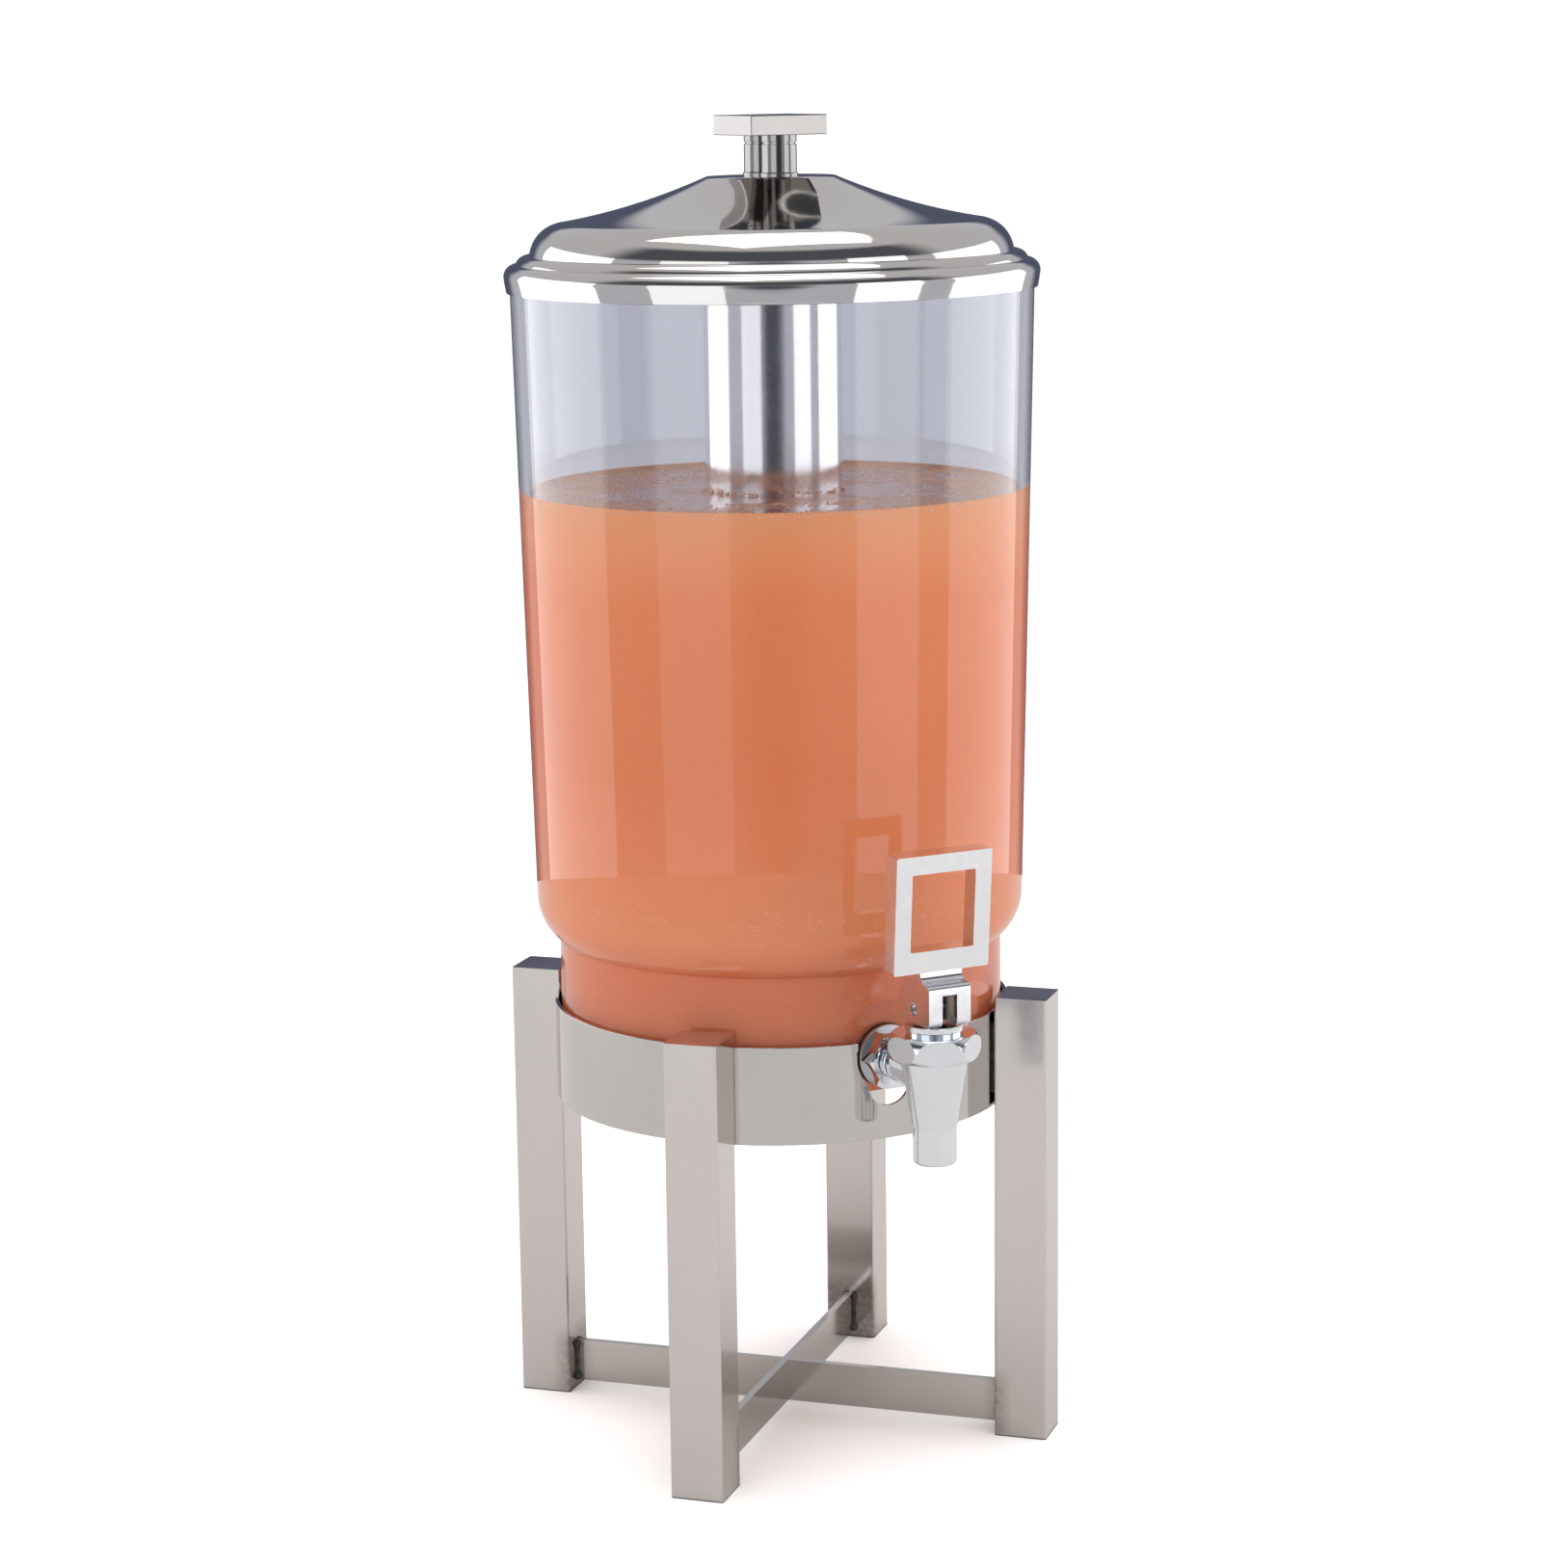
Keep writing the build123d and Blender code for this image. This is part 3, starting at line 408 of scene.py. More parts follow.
def lathe(name, outline, segments=192, centre=(0, 0), axis="Z", along=0.0):
    # turns a closed outline of (radius, height) round an axis; points on the axis become poles
    mesh = bmesh.new()
    rings = []
    for radius, height in outline:
        if radius < 1e-7:
            rings.append([mesh.verts.new((0, 0, height))])
        else:
            rings.append([mesh.verts.new((*point, height)) for point in circle(radius, segments)])
    for first, second in zip(rings, rings[1:] + rings[:1]):
        for i in range(segments):
            j = (i + 1) % segments
            corners = [first[i % len(first)], first[j % len(first)]]
            corners += [second[j % len(second)], second[i % len(second)]]
            unique = list(dict.fromkeys(corners))
            if len(unique) >= 3:
                mesh.faces.new(unique)
    if axis == "Y":     # height runs along +Y
        mesh.transform(Matrix.Rotation(-pi / 2, 4, "X"))
        mesh.transform(Matrix.Translation((centre[0], 0, centre[1])))
    else:
        mesh.transform(Matrix.Translation((centre[0], centre[1], 0)))
    bmesh.ops.recalc_face_normals(mesh, faces=mesh.faces)
    return finish(mesh, name)


def finish(mesh, name, angle=30.0):
    data = bpy.data.meshes.new(name)
    mesh.to_mesh(data)
    mesh.free()
    return smooth(data, angle)


def prism(name, outline, plane, depth):
    # an outline of (across, up) pushed through by depth along the plane's normal, both ways from it
    origin, across, up = (Vector(part) for part in plane)
    normal = across.cross(up)
    mesh = bmesh.new()
    low, high = depth
    front = [mesh.verts.new(origin + across * a + up * b + normal * low) for a, b in outline]
    back = [mesh.verts.new(origin + across * a + up * b + normal * high) for a, b in outline]
    count = len(outline)
    mesh.faces.new(front)
    mesh.faces.new(back)
    for i in range(count):
        j = (i + 1) % count
        mesh.faces.new([front[i], front[j], back[j], back[i]])
    bmesh.ops.recalc_face_normals(mesh, faces=mesh.faces)
    return finish(mesh, name)


def carve(base, cutter, operation="DIFFERENCE", angle=30.0):
    # one exact boolean between two meshes, given back as a plain mesh
    name = base.name
    first, second = addObject("carveBase", base), addObject("carveTool", cutter)
    modifier = first.modifiers.new("carve", "BOOLEAN")
    modifier.operation = operation
    modifier.solver = "EXACT"
    modifier.object = second
    result = bpy.data.meshes.new_from_object(first.evaluated_get(bpy.context.evaluated_depsgraph_get()))
    for made in (first, second):
        bpy.data.objects.remove(made)
    bpy.data.meshes.remove(base)
    bpy.data.meshes.remove(cutter)
    result.name = name
    return smooth(result, angle)


def softenEdges(piece, width, angle=35.0):
    piece.modifiers.remove(piece.modifiers["evenNormals"])
    bevel = piece.modifiers.new("soften", "BEVEL")
    bevel.width = width
    bevel.segments = 3
    bevel.limit_method = "ANGLE"
    bevel.angle_limit = radians(angle)
    evenNormals(piece)
    return piece


def hexagon(flats, turn=0.0):
    start = radians(turn)
    return sweep((0, 0), flats / 2 / cos(pi / 6), start, start + 2 * pi, 6)[:-1]


# ---- pieces that follow a rule ----

class Rule(Nodes):
    # a Geometry Nodes tree with named inputs; its result is taken off as a plain mesh
    def __init__(self, name, **values):
        super().__init__(bpy.data.node_groups.new(name, "GeometryNodeTree"))
        self.name = name
        self.given = {}
        for way in ("INPUT", "OUTPUT"):
            self.tree.interface.new_socket("Geometry", in_out=way, socket_type="NodeSocketGeometry")
        for title, value in values.items():
            kind = "Int" if isinstance(value, int) else "Float"
            kind = "Material" if isinstance(value, bpy.types.Material) else kind
            socket = self.tree.interface.new_socket(title, in_out="INPUT", socket_type="NodeSocket" + kind)
            self.given[socket.identifier] = value
        self.start = self.tree.nodes.new("NodeGroupInput")
        self.end = self.tree.nodes.new("NodeGroupOutput")

    def value(self, title):
        return self.start.outputs[title]

    def chance(self, low, high, salt):
        # a different number for each point, always the same for one seed
        seed = self.math("ADD", self.value("Seed"), float(salt))
        made = self.node("FunctionNodeRandomValue", {"Seed": seed}, data_type="FLOAT")
        for place, limit in ((2, low), (3, high)):      # the float sockets share their names too
            self.put(made.inputs[place], limit)
        return made.outputs[1]

    def scatter(self, points, shape, size):
        # one shape on every point, made real and given its material
        placed = self.node("GeometryNodeInstanceOnPoints",
                           {"Points": points, "Instance": shape, "Scale": size})
        real = self.node("GeometryNodeRealizeInstances", {"Geometry": placed.outputs["Instances"]})
        painted = self.node("GeometryNodeSetMaterial", {"Geometry": real.outputs["Geometry"],
                                                        "Material": self.value("Finish")})
        self.tree.links.new(painted.outputs["Geometry"], self.end.inputs["Geometry"])

    def make(self, base):
        holder = addObject(self.name, base)
        modifier = holder.modifiers.new(self.name, "NODES")
        modifier.node_group = self.tree
        for identifier, value in self.given.items():
            modifier[identifier] = value
        result = bpy.data.meshes.new_from_object(holder.evaluated_get(bpy.context.evaluated_depsgraph_get()))
        holder.modifiers.remove(modifier)
        bpy.data.objects.remove(holder)
        bpy.data.meshes.remove(base)
        result.name = self.name
        return smooth(result, 60)


def makeLines(name, lines):
    # loose edges, one for each pair of ends
    mesh = bmesh.new()
    for start, end in lines:
        mesh.edges.new([mesh.verts.new(start), mesh.verts.new(end)])
    data = bpy.data.meshes.new(name)
    mesh.to_mesh(data)
    mesh.free()
    return data


# ---- tank ----

tankShape = inMetres({
    "baseRadius": 91.8, "shoulderRise": 66, "shoulderRadius": 100.8, "topRadius": 106, "wall": 4,
    "floor": 3.5, "shoulderRound": 22, "rimRound": 1.2, "baseRound": 2.2, "padRadius": 22,
    "padDepth": 1.8, "padOutside": 200, "holeRadius": 7.7, "holeReach": (70, 120),
}, segments=256)
frontPlane = ((0, 0, shankZ), (1, 0, 0), (0, 0, 1))     # looks out along -Y at the shank's height


def tankOutline(shape, inset):
    # the wall's outer line from the base up, or its inner line when inset is the wall's thickness
    base = shape["baseRadius"] - inset
    turn = shape["shoulderRound"] - inset
    centreR = shape["shoulderRadius"] - shape["shoulderRound"]
    shoulderZ = tankLow.z + shape["shoulderRise"]
    footZ = shoulderZ - sqrt(turn**2 - (base - centreR)**2)
    first = atan2(footZ - shoulderZ, base - centreR)
    return [(base, footZ)] + sweep((centreR, shoulderZ), turn, first, 0, 14)[1:]


def makeTank(shape):
    outer = tankOutline(shape, 0)
    inner = tankOutline(shape, shape["wall"])
    baseR, baseRound = shape["baseRadius"], shape["baseRound"]
    rim, rimZ = shape["rimRound"], tankHigh.z - shape["rimRound"]
    top = shape["topRadius"]
    outline = [(0, tankLow.z)]
    outline += sweep((baseR - baseRound, tankLow.z + baseRound), baseRound, -pi / 2, 0, 6) + outer
    outline += sweep((top - rim, rimZ), rim, 0, pi / 2, 5)
    outline += sweep((top - shape["wall"] + rim, rimZ), rim, pi / 2, pi, 5) + inner[::-1]
    floorR, floorZ = baseR - shape["wall"], tankLow.z + shape["floor"]
    outline += [(floorR, floorZ + baseRound), (floorR - baseRound, floorZ), (0, floorZ)]
    mesh = lathe("tankShell", outline, shape["segments"])
    padReach = (baseR - shape["padDepth"], shape["padOutside"])
    mesh = carve(mesh, prism("pad", circle(shape["padRadius"]), frontPlane, padReach), angle=25)
    return carve(mesh, prism("hole", circle(shape["holeRadius"]), frontPlane, shape["holeReach"]), angle=25)


addPiece("tankShell", makeTank(tankShape), "vessel", "clear", ["tank"])
print("tank made")

# ---- juice ----

juiceShape = inMetres({
    "level": 395, "overlap": 0.15, "meniscus": 1.6, "meniscusWidth": 4, "footBevel": 2, "topDepth": 3,
}, segments=256)


def wallSlope(tank):
    # where the wall's straight part starts, and how fast its radius grows with height
    start = tankLow.z + tank["shoulderRise"]
    return start, (tank["topRadius"] - tank["shoulderRadius"]) / (tankHigh.z - start)


def makeJuiceBody(shape, tank):
    wall = tank["wall"] - shape["overlap"]
    shoulderZ, slope = wallSlope(tank)
    level = shape["level"]
    edge = tank["shoulderRadius"] - wall + slope * (level - shoulderZ)
    floorZ = tankLow.z + tank["floor"] - shape["overlap"]
    base, bevel = tank["baseRadius"] - wall, shape["footBevel"]
    outline = [(0, floorZ), (base - bevel, floorZ), (base, floorZ + bevel)] + tankOutline(tank, wall)
    outline.append((edge, level))
    width = shape["meniscusWidth"]
    for i in range(1, 6):       # the surface climbs the wall a little
        outline.append((edge - width * i / 5, level - shape["meniscus"] * sin(pi / 2 * i / 5)))
    flat, reach = level - shape["meniscus"], edge - width
    outline += [(reach * (1 - i / 14), flat) for i in range(1, 14)] + [(0, flat)]
    mesh = lathe("juice", outline, shape["segments"])
    mesh.materials.append(finishes["juice"])
    mesh.materials.append(finishes["juiceTop"])
    for face in mesh.polygons:
        if face.normal.z > 0.3 and face.center.z > level - shape["topDepth"]:
            face.material_index = 1
    return mesh


addPiece("juice", makeJuiceBody(juiceShape, tankShape), "vessel", None)

# bubbles caught against the wall, just over the shoulder and along the surface, and froth on the surface
bubbleSets = {
    "shoulderBubbles": inMetres({"Low": 0.2, "High": 0.5, "Height": 232.0, "Rise": 16.0, "Start": 0.0,
                                 "Inward": 0.0}, Count=800, Seed=11),
    "rimBubbles": inMetres({"Low": 0.2, "High": 0.7, "Height": 393.6, "Rise": 2.6, "Start": 0.0,
                            "Inward": 0.0}, Count=900, Seed=23),
    "surfaceFroth": inMetres({"Low": 0.2, "High": 0.7, "Height": 393.4, "Rise": 0.3, "Start": 1.0,
                              "Inward": 46.0}, Count=1900, Seed=37),
    "tubeFroth": inMetres({"Low": 0.2, "High": 0.75, "Height": 394.0, "Rise": 3.0, "Start": 73.0,
                           "Inward": -1.6}, Count=420, Seed=41),
}


def makeBubbles(name, look, tank):
    # random places on the cone of the inner wall, thinner away from the middle height
    shoulderZ, slope = wallSlope(tank)
    rule = Rule(name, **look, WallRadius=tank["shoulderRadius"] - tank["wall"], WallStart=shoulderZ,
                Slope=slope, Finish=finishes["bubble"])
    turn = rule.chance(0.0, 2 * pi, 0)
    spread = rule.math("MULTIPLY", rule.chance(-0.5, 0.5, 1), rule.chance(0.0, 1.0, 2))
    height = rule.math("ADD", rule.value("Height"), rule.math("MULTIPLY", spread, rule.value("Rise")))
    climb = rule.math("MULTIPLY", rule.math("SUBTRACT", height, rule.value("WallStart")), rule.value("Slope"))
    inward = rule.math("MULTIPLY", rule.value("Inward"), rule.math("POWER", rule.chance(0.0, 1.0, 3), 2.2))
    inward = rule.math("ADD", rule.value("Start"), inward)
    radius = rule.math("SUBTRACT", rule.math("ADD", rule.value("WallRadius"), climb), inward)
    place = rule.node("CombineXYZ", {"X": rule.math("MULTIPLY", radius, rule.math("COSINE", turn)),
                                     "Y": rule.math("MULTIPLY", radius, rule.math("SINE", turn)),
                                     "Z": height}).outputs["Vector"]
    points = rule.node("GeometryNodePoints", {"Count": rule.value("Count"), "Position": place})
    ball = rule.node("GeometryNodeMeshIcoSphere", {"Radius": 1.0, "Subdivisions": 2})
    small = rule.math("POWER", rule.chance(0.0, 1.0, 4), 2.5)
    reach = rule.math("SUBTRACT", rule.value("High"), rule.value("Low"))
    size = rule.math("ADD", rule.value("Low"), rule.math("MULTIPLY", small, reach))
    rule.scatter(points.outputs["Points"], ball.outputs["Mesh"], size)
    return rule.make(makeLines(name, []))


for name, look in bubbleSets.items():
    addPiece(name, makeBubbles(name, look, tankShape), "vessel", None)
print("juice poured")

# ---- lid ----

lidShape = inMetres({
    "wall": 0.8, "discRadius": 26, "discRise": 38.4, "coneMid": (49.52, 29.59), "coneFoot": (87.0, 20.6),
    "bulgeMid": (94.3, 16.04), "bulgeFoot": (97.7, 8.1), "beadMid": (101.7, 7.21),
    "beadFoot": (103.4, 4.8), "lipMid": (106.9, 3.26), "lipRadius": 108.3, "lipFoot": 107.3,
    "lipDrop": 6.4, "lipSag": 0.42,
}, segments=256)


def lidLine(shape, wall):
    # the dome from its middle to its lip, inwards by the wall: more where it is steep
    top = tankHigh.z
    flat, band = wall / 4, 0.7 * wall

    def point(name, inset, drop):
        return (shape[name][0] - inset, top + shape[name][1] - drop)

    disc = (shape["discRadius"] - flat, top + shape["discRise"] - wall)
    cone, bulge = point("coneFoot", flat, wall), point("bulgeFoot", wall, wall)
    bead = point("beadFoot", wall, wall)
    side = (shape["lipRadius"] - wall, top)
    lipLow = (shape["lipRadius"] - shape["lipSag"] - wall, top - shape["lipDrop"] / 2)
    foot = (shape["lipFoot"] - wall, top - shape["lipDrop"])
    line = [(disc[0] * i / 4, disc[1]) for i in range(4)]
    line += arc(disc, point("coneMid", flat, wall), cone, 36)
    line += arc(cone, point("bulgeMid", band, band), bulge, 28)[1:]
    line += arc(bulge, point("beadMid", band, band), bead, 12)[1:]
    line += arc(bead, point("lipMid", band, band), side, 12)[1:]
    return line + arc(side, lipLow, foot, 6)[1:]


lidOutline = lidLine(lidShape, 0) + lidLine(lidShape, lidShape["wall"])[::-1]
lidMesh = lathe("lidDome", lidOutline, lidShape["segments"])
addPiece("lidDome", lidMesh, "lid", "mirror", ["lid_shell"])
print("lid made")


# ---- turned pieces that follow their CAD node's box ----

def addRing(name, node, body, look, innerRadius, edge=0.15 * mm, segments=160, axis="Z", centre=(0, 0)):
    # a plain ring with softened edges, as wide and as high as its node
    low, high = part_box(node)
    start, end = (low.z, high.z) if axis == "Z" else (low.y, high.y)
    outline = rounded(rectangle(innerRadius, (high.x - low.x) / 2, start, end), edge)
    return addPiece(name, lathe(name, outline, segments, centre, axis), body, look, [node])


sealShape = inMetres({"gasketInner": 102.6, "skirtInner": 99.9, "skirtOuter": 100.9, "flange": 0.8, "seat": 2,
                      "edge": 0.2})
addRing("lidSeal", "lid_gasket", "lid", "silicone", sealShape["gasketInner"], 0.3 * mm)


def makeSkirt(shape):
    low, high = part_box("lid_skirt")
    seat = tankHigh.z + shape["seat"]
    outer = shape["skirtOuter"]
    outline = [(shape["skirtInner"], low.z), (outer, low.z), (outer, seat), (high.x, seat),
               (high.x, seat + shape["flange"]), (outer, seat + shape["flange"]), (outer, high.z),
               (shape["skirtInner"], high.z)]
    return lathe("lidSkirt", rounded(outline, {corner: shape["edge"] for corner in (0, 1, 3, 4)}), 192)


addPiece("lidSkirt", makeSkirt(sealShape), "lid", "mirror", ["lid_skirt"])

# ---- knob ----

knobShape = inMetres({
    "radius": 7.1, "footRadius": 7.6, "footHeight": 1.4, "grooveDepth": 0.5, "soft": 0.12,
    "grooveHeight": 0.9, "grooveDrop": 3.6, "screwBore": 2.05, "boreDepth": 11, "plateEdge": 0.45,
})


def makePost(name, y, shape):
    low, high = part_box("knob_post_front")
    groove = high.z - shape["grooveDrop"]
    grooveTop = groove + shape["grooveHeight"]
    r, foot, soft = shape["radius"], shape["footRadius"], shape["soft"]
    deep = r - shape["grooveDepth"]
    footTop = low.z + shape["footHeight"]
    bore, boreTop = shape["screwBore"], low.z + shape["boreDepth"]
    outline = [(bore, low.z), (foot, low.z), (foot, footTop - 0.4 * mm),
               (foot - 0.15 * mm, footTop - 0.1 * mm), (r + 0.1 * mm, footTop), (r, footTop + 0.2 * mm),
               (r, groove - soft), (r - soft, groove),
               (deep, groove + 0.05 * mm), (deep, grooveTop - 0.05 * mm), (r - soft, grooveTop),
               (r, grooveTop + soft), (r, high.z), (0, high.z), (0, boreTop), (bore, boreTop)]
    return lathe(name, outline, 96, (0, y))


for place in ("front", "back"):
    low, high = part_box("knob_post_" + place)
    name = "knobPost" + place.capitalize()
    addPiece(name, makePost(name, (low.y + high.y) / 2, knobShape), "lid", "post",
             ["knob_post_" + place])


def makeBlock(name, low, high):
    mesh = bmesh.new()
    bmesh.ops.create_cube(mesh, size=1)
    mesh.transform(Matrix.Translation((low + high) / 2) @ Matrix.Diagonal((*(high - low), 1)))
    return finish(mesh, name)


plate = addPiece("knobPlate", makeBlock("knobPlate", *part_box("knob_plate")), "lid", "plate",
                 ["knob_plate"])
softenEdges(plate, knobShape["plateEdge"])
print("knob made")

# ---- ice tube ----

tubeShape = inMetres({
    "radius": 27.9, "wall": 0.8, "edge": 0.2, "slotHalf": 2.5, "lugDrop": 10, "entry": 20,
    "socketRadius": 26.8, "socketWall": 1.2,
}, twist=35.0, segments=192)


def makeIceTube(shape):
    # a rolled tube with two bent slots at its top
    radius, inner = shape["radius"], shape["radius"] - shape["wall"]
    outline = rounded(rectangle(inner, radius, tubeLow.z, tubeHigh.z), shape["edge"])
    mesh = lathe("iceTube", outline, shape["segments"])
    half = shape["slotHalf"]
    margin = asin(half / inner)
    far, near = 1.5 * radius, 0.45 * radius
    flat = ((0, 0, tubeHigh.z - shape["lugDrop"]), (1, 0, 0), (0, 1, 0))
    for side in (0, pi):
        locked, opened = side + margin, side - radians(shape["twist"])
        start, end = opened - margin, opened + margin
        level = [(near, start), (near, locked), (far, locked), (far, (locked + opened) / 2), (far, start)]
        entry = [(near, start), (near, end), (far, end), (far, start)]
        for corners, depth in ((level, (-half, half)), (entry, (0, shape["entry"]))):
            outline = [(reach * cos(a), reach * sin(a)) for reach, a in corners]
            mesh = carve(mesh, prism("slot", outline, flat, depth))
    return mesh


addPiece("iceTube", makeIceTube(tubeShape), "cooling_tube", "tube", ["ice_tube"])
addRing("tubeSocket", "tube_socket", "lid", "mirror",
        tubeShape["socketRadius"] - tubeShape["socketWall"], tubeShape["edge"])
print("ice tube made")

# ---- support ring ----

ringShape = inMetres({
    "inner": 93, "outer": 94.5, "edge": 0.2, "notchHalf": 13.5, "notchRound": 14, "footRadius": 9.7,
    "footDrop": 10.3, "overTop": 5, "notchReach": (50, 120),
}, segments=288)


def notchOutline(shape):
    # a keyhole: straight above the shank, round at it, with a smaller round foot below
    top = ringHigh.z - shankZ + shape["overTop"]
    half, big, small, drop = shape["notchHalf"], shape["notchRound"], shape["footRadius"], shape["footDrop"]
    crossing = (big**2 - small**2 + drop**2) / (2 * drop)       # depth where the two circles meet
    side = sqrt(big**2 - crossing**2)
    right = sweep((0, 0), big, pi / 2 - asin(half / big), asin(side / big) - pi / 2, 20)
    right += sweep((0, -drop), small, pi / 2 - atan2(side, drop - crossing), -pi / 2, 16)[1:]
    line = [(half, top)] + right
    return line + [(-across, up) for across, up in line[::-1][1:]]


def makeRingBand(shape):
    outline = rounded(rectangle(shape["inner"], shape["outer"], ringLow.z, ringHigh.z), shape["edge"])
    mesh = lathe("ringBand", outline, shape["segments"])
    return carve(mesh, prism("notch", notchOutline(shape), frontPlane, shape["notchReach"]))


addPiece("ringBand", makeRingBand(ringShape), "stand", "band", ["support_ring"])

# ---- weld beads ----

weldShape = {
    "barbells": inMetres({"Step": 0.9, "Seam": 1.2, "Blob": 2.2}, Sharpness=7.0, Seed=5),
    "fillets": inMetres({"Step": 1.3, "Seam": 1.5, "Blob": 1.7}, Sharpness=4.0, Seed=8),
}
seamShape = inMetres({"fromBand": 0.4, "barHalf": 1.5, "bandHalf": 8, "bandSink": 0.2, "end": 1.7})
legFace = ringShape["outer"] + seamShape["fromBand"]
legAngles = (-45, 45, 135, -135)


def makeBeads(name, look, lines):
    # overlapping beads along each seam, larger at its ends
    rule = Rule(name, **look, Finish=finishes["weld"])
    curve = rule.node("GeometryNodeMeshToCurve", {"Mesh": rule.start.outputs["Geometry"]})
    even = rule.node("GeometryNodeResampleCurve",
                     {"Curve": curve.outputs["Curve"], "Length": rule.value("Step")}, mode="LENGTH")
    along = rule.node("GeometryNodeSplineParameter").outputs["Factor"]
    outward = rule.math("ABSOLUTE", rule.math("SUBTRACT", rule.math("MULTIPLY", along, 2.0), 1.0))
    swell = rule.math("POWER", outward, rule.value("Sharpness"))
    reach = rule.math("SUBTRACT", rule.value("Blob"), rule.value("Seam"))
    size = rule.math("ADD", rule.value("Seam"), rule.math("MULTIPLY", swell, reach))
    size = rule.math("MULTIPLY", size, rule.chance(0.86, 1.0, 1))
    ball = rule.node("GeometryNodeMeshIcoSphere", {"Radius": 1.0, "Subdivisions": 3})
    rule.scatter(even.outputs["Curve"], ball.outputs["Mesh"], size)
    return rule.make(makeLines(name, lines))


def seamLines(across, out, node):
    # one upright line on each side of every leg's inner face
    low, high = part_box(node)
    ends = (low.z + seamShape["end"], high.z - seamShape["end"])
    lines = []
    for angle in legAngles:
        c, s = cos(radians(angle)), sin(radians(angle))
        for side in (across, -across):
            lines.append([(out * c - side * s, out * s + side * c, z) for z in ends])
    return lines


lines = seamLines(seamShape["barHalf"], legFace, "cross_welds")
barWelds = makeBeads("barWelds", weldShape["barbells"], lines)
addPiece("barWelds", barWelds, "stand", None, ["cross_welds"])
lines = seamLines(seamShape["bandHalf"], legFace - seamShape["bandSink"], "ring_welds")
ringWelds = makeBeads("ringWelds", weldShape["fillets"], lines)
addPiece("ringWelds", ringWelds, "stand", None, ["ring_welds"])
print("ring made")

# ---- faucet ----

faucetShape = inMetres({
    "spout": 8.6, "tipRound": 1.4, "spoutBore": 6, "spoutLength": 15, "coneLow": 8.9, "coneHigh": 13.7,
    "chamber": 8.8, "chamberDrop": 8.5, "boss": 7.9, "groove": 6.4, "shank": 7.4, "shankBore": 4.6,
    "collar": 1.9, "grooveLength": 1.4, "soft": 0.35,
}, segments=128)


def makeFaucetBody(shape):
    # spout and cone turned about the valve's axis, joined by the shank turned about its own
    foot, top = bodyLow.z, bodyHigh.z
    coneZ = foot + shape["spoutLength"]
    tip, low, high = shape["tipRound"], shape["coneLow"], shape["coneHigh"]
    outline = [(0, foot), (shape["spoutBore"] + 0.4 * mm, foot)]
    outline += sweep((shape["spout"] - tip, foot + tip), tip, -pi / 2, 0, 6)
    outline += [(shape["spout"], coneZ - 0.2 * mm), (low - 0.05 * mm, coneZ),
                (low + 0.05 * mm, coneZ + 0.3 * mm), (high - 0.3 * mm, top - 0.6 * mm),
                (high, top - 0.3 * mm), (high - 0.2 * mm, top), (0, top)]
    mesh = lathe("faucetBody", outline, shape["segments"], (0, faucetY))
    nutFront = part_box("jam_nut")[0].y
    collarEnd = nutFront - shape["collar"]
    bossEnd = collarEnd - shape["grooveLength"]
    boss, groove, soft, end = shape["boss"], shape["groove"], shape["soft"], bodyHigh.y
    shank = [(0, faucetY), (boss, faucetY), (boss, bossEnd - soft), (boss - soft, bossEnd), (groove, bossEnd),
             (groove, collarEnd), (boss - soft, collarEnd), (boss, collarEnd + soft), (boss, nutFront - soft),
             (boss - soft, nutFront), (shape["shank"], nutFront), (shape["shank"], end), (0, end)]
    mesh = carve(mesh, lathe("shank", shank, 96, (0, shankZ), "Y"), "UNION")
    bore = rectangle(0, shape["shankBore"], faucetY, end + mm)
    mesh = carve(mesh, lathe("bore", bore, 64, (0, shankZ), "Y"))
    narrow, wide, wellZ = shape["spoutBore"], shape["chamber"], shankZ - shape["chamberDrop"]
    well = [(0, foot - mm), (narrow, foot - mm), (narrow, wellZ), (wide, wellZ), (wide, top + mm),
            (0, top + mm)]
    return carve(mesh, lathe("well", well, 96, (0, faucetY)))


addPiece("faucetBody", makeFaucetBody(faucetShape), "vessel", "chrome", ["faucet_body"])

nutShape = inMetres({"bore": 7.42, "chamfer": 0.9})


def makeShankNut(name, node, shape):
    # a six-sided nut with its corners turned off at both faces
    low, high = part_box(node)
    flats = min(high.x - low.x, high.z - low.z)
    corner, chamfer, bore = flats / 2 / cos(pi / 6), shape["chamfer"], shape["bore"]
    cut = corner - 1.6 * (chamfer + mm)
    mesh = prism(name, hexagon(flats), ((0, low.y, shankZ), (1, 0, 0), (0, 0, -1)), (0, high.y - low.y))
    barrel = [(bore, low.y - mm), (cut, low.y - mm), (corner, low.y + chamfer), (corner, high.y - chamfer),
              (cut, high.y + mm), (bore, high.y + mm)]
    return carve(mesh, lathe("barrel", barrel, 96, (0, shankZ), "Y"), "INTERSECT", 12)


for name, node, look, slot in (("jamNut", "jam_nut", "chrome", "chrome"),
                               ("lockNut", "lock_nut", "plainSteel", "plain_steel")):
    addPiece(name, makeShankNut(name, node, nutShape), "vessel", look, [node])
for name, node, look, slot in (("outerSeal", "outer_gasket", "blackRubber", "black_rubber"),
                               ("shankWasher", "shank_washer", "plainSteel", "plain_steel"),
                               ("innerSeal", "inner_gasket", "silicone", "silicone")):
    addRing(name, node, "vessel", look, nutShape["bore"], 0.3 * mm, 96, "Y", (0, shankZ))

# ---- bonnet ----

bonnetShape = inMetres({
    "radius": 18.4, "flats": 32.5, "round": 6.9, "height": 10.2, "collarLow": 10.6,
    "collarLowHeight": 1.2, "collar": 11.4, "soft": 0.3, "stemBore": 3.06, "skirt": 8.75,
}, turn=-21.5)


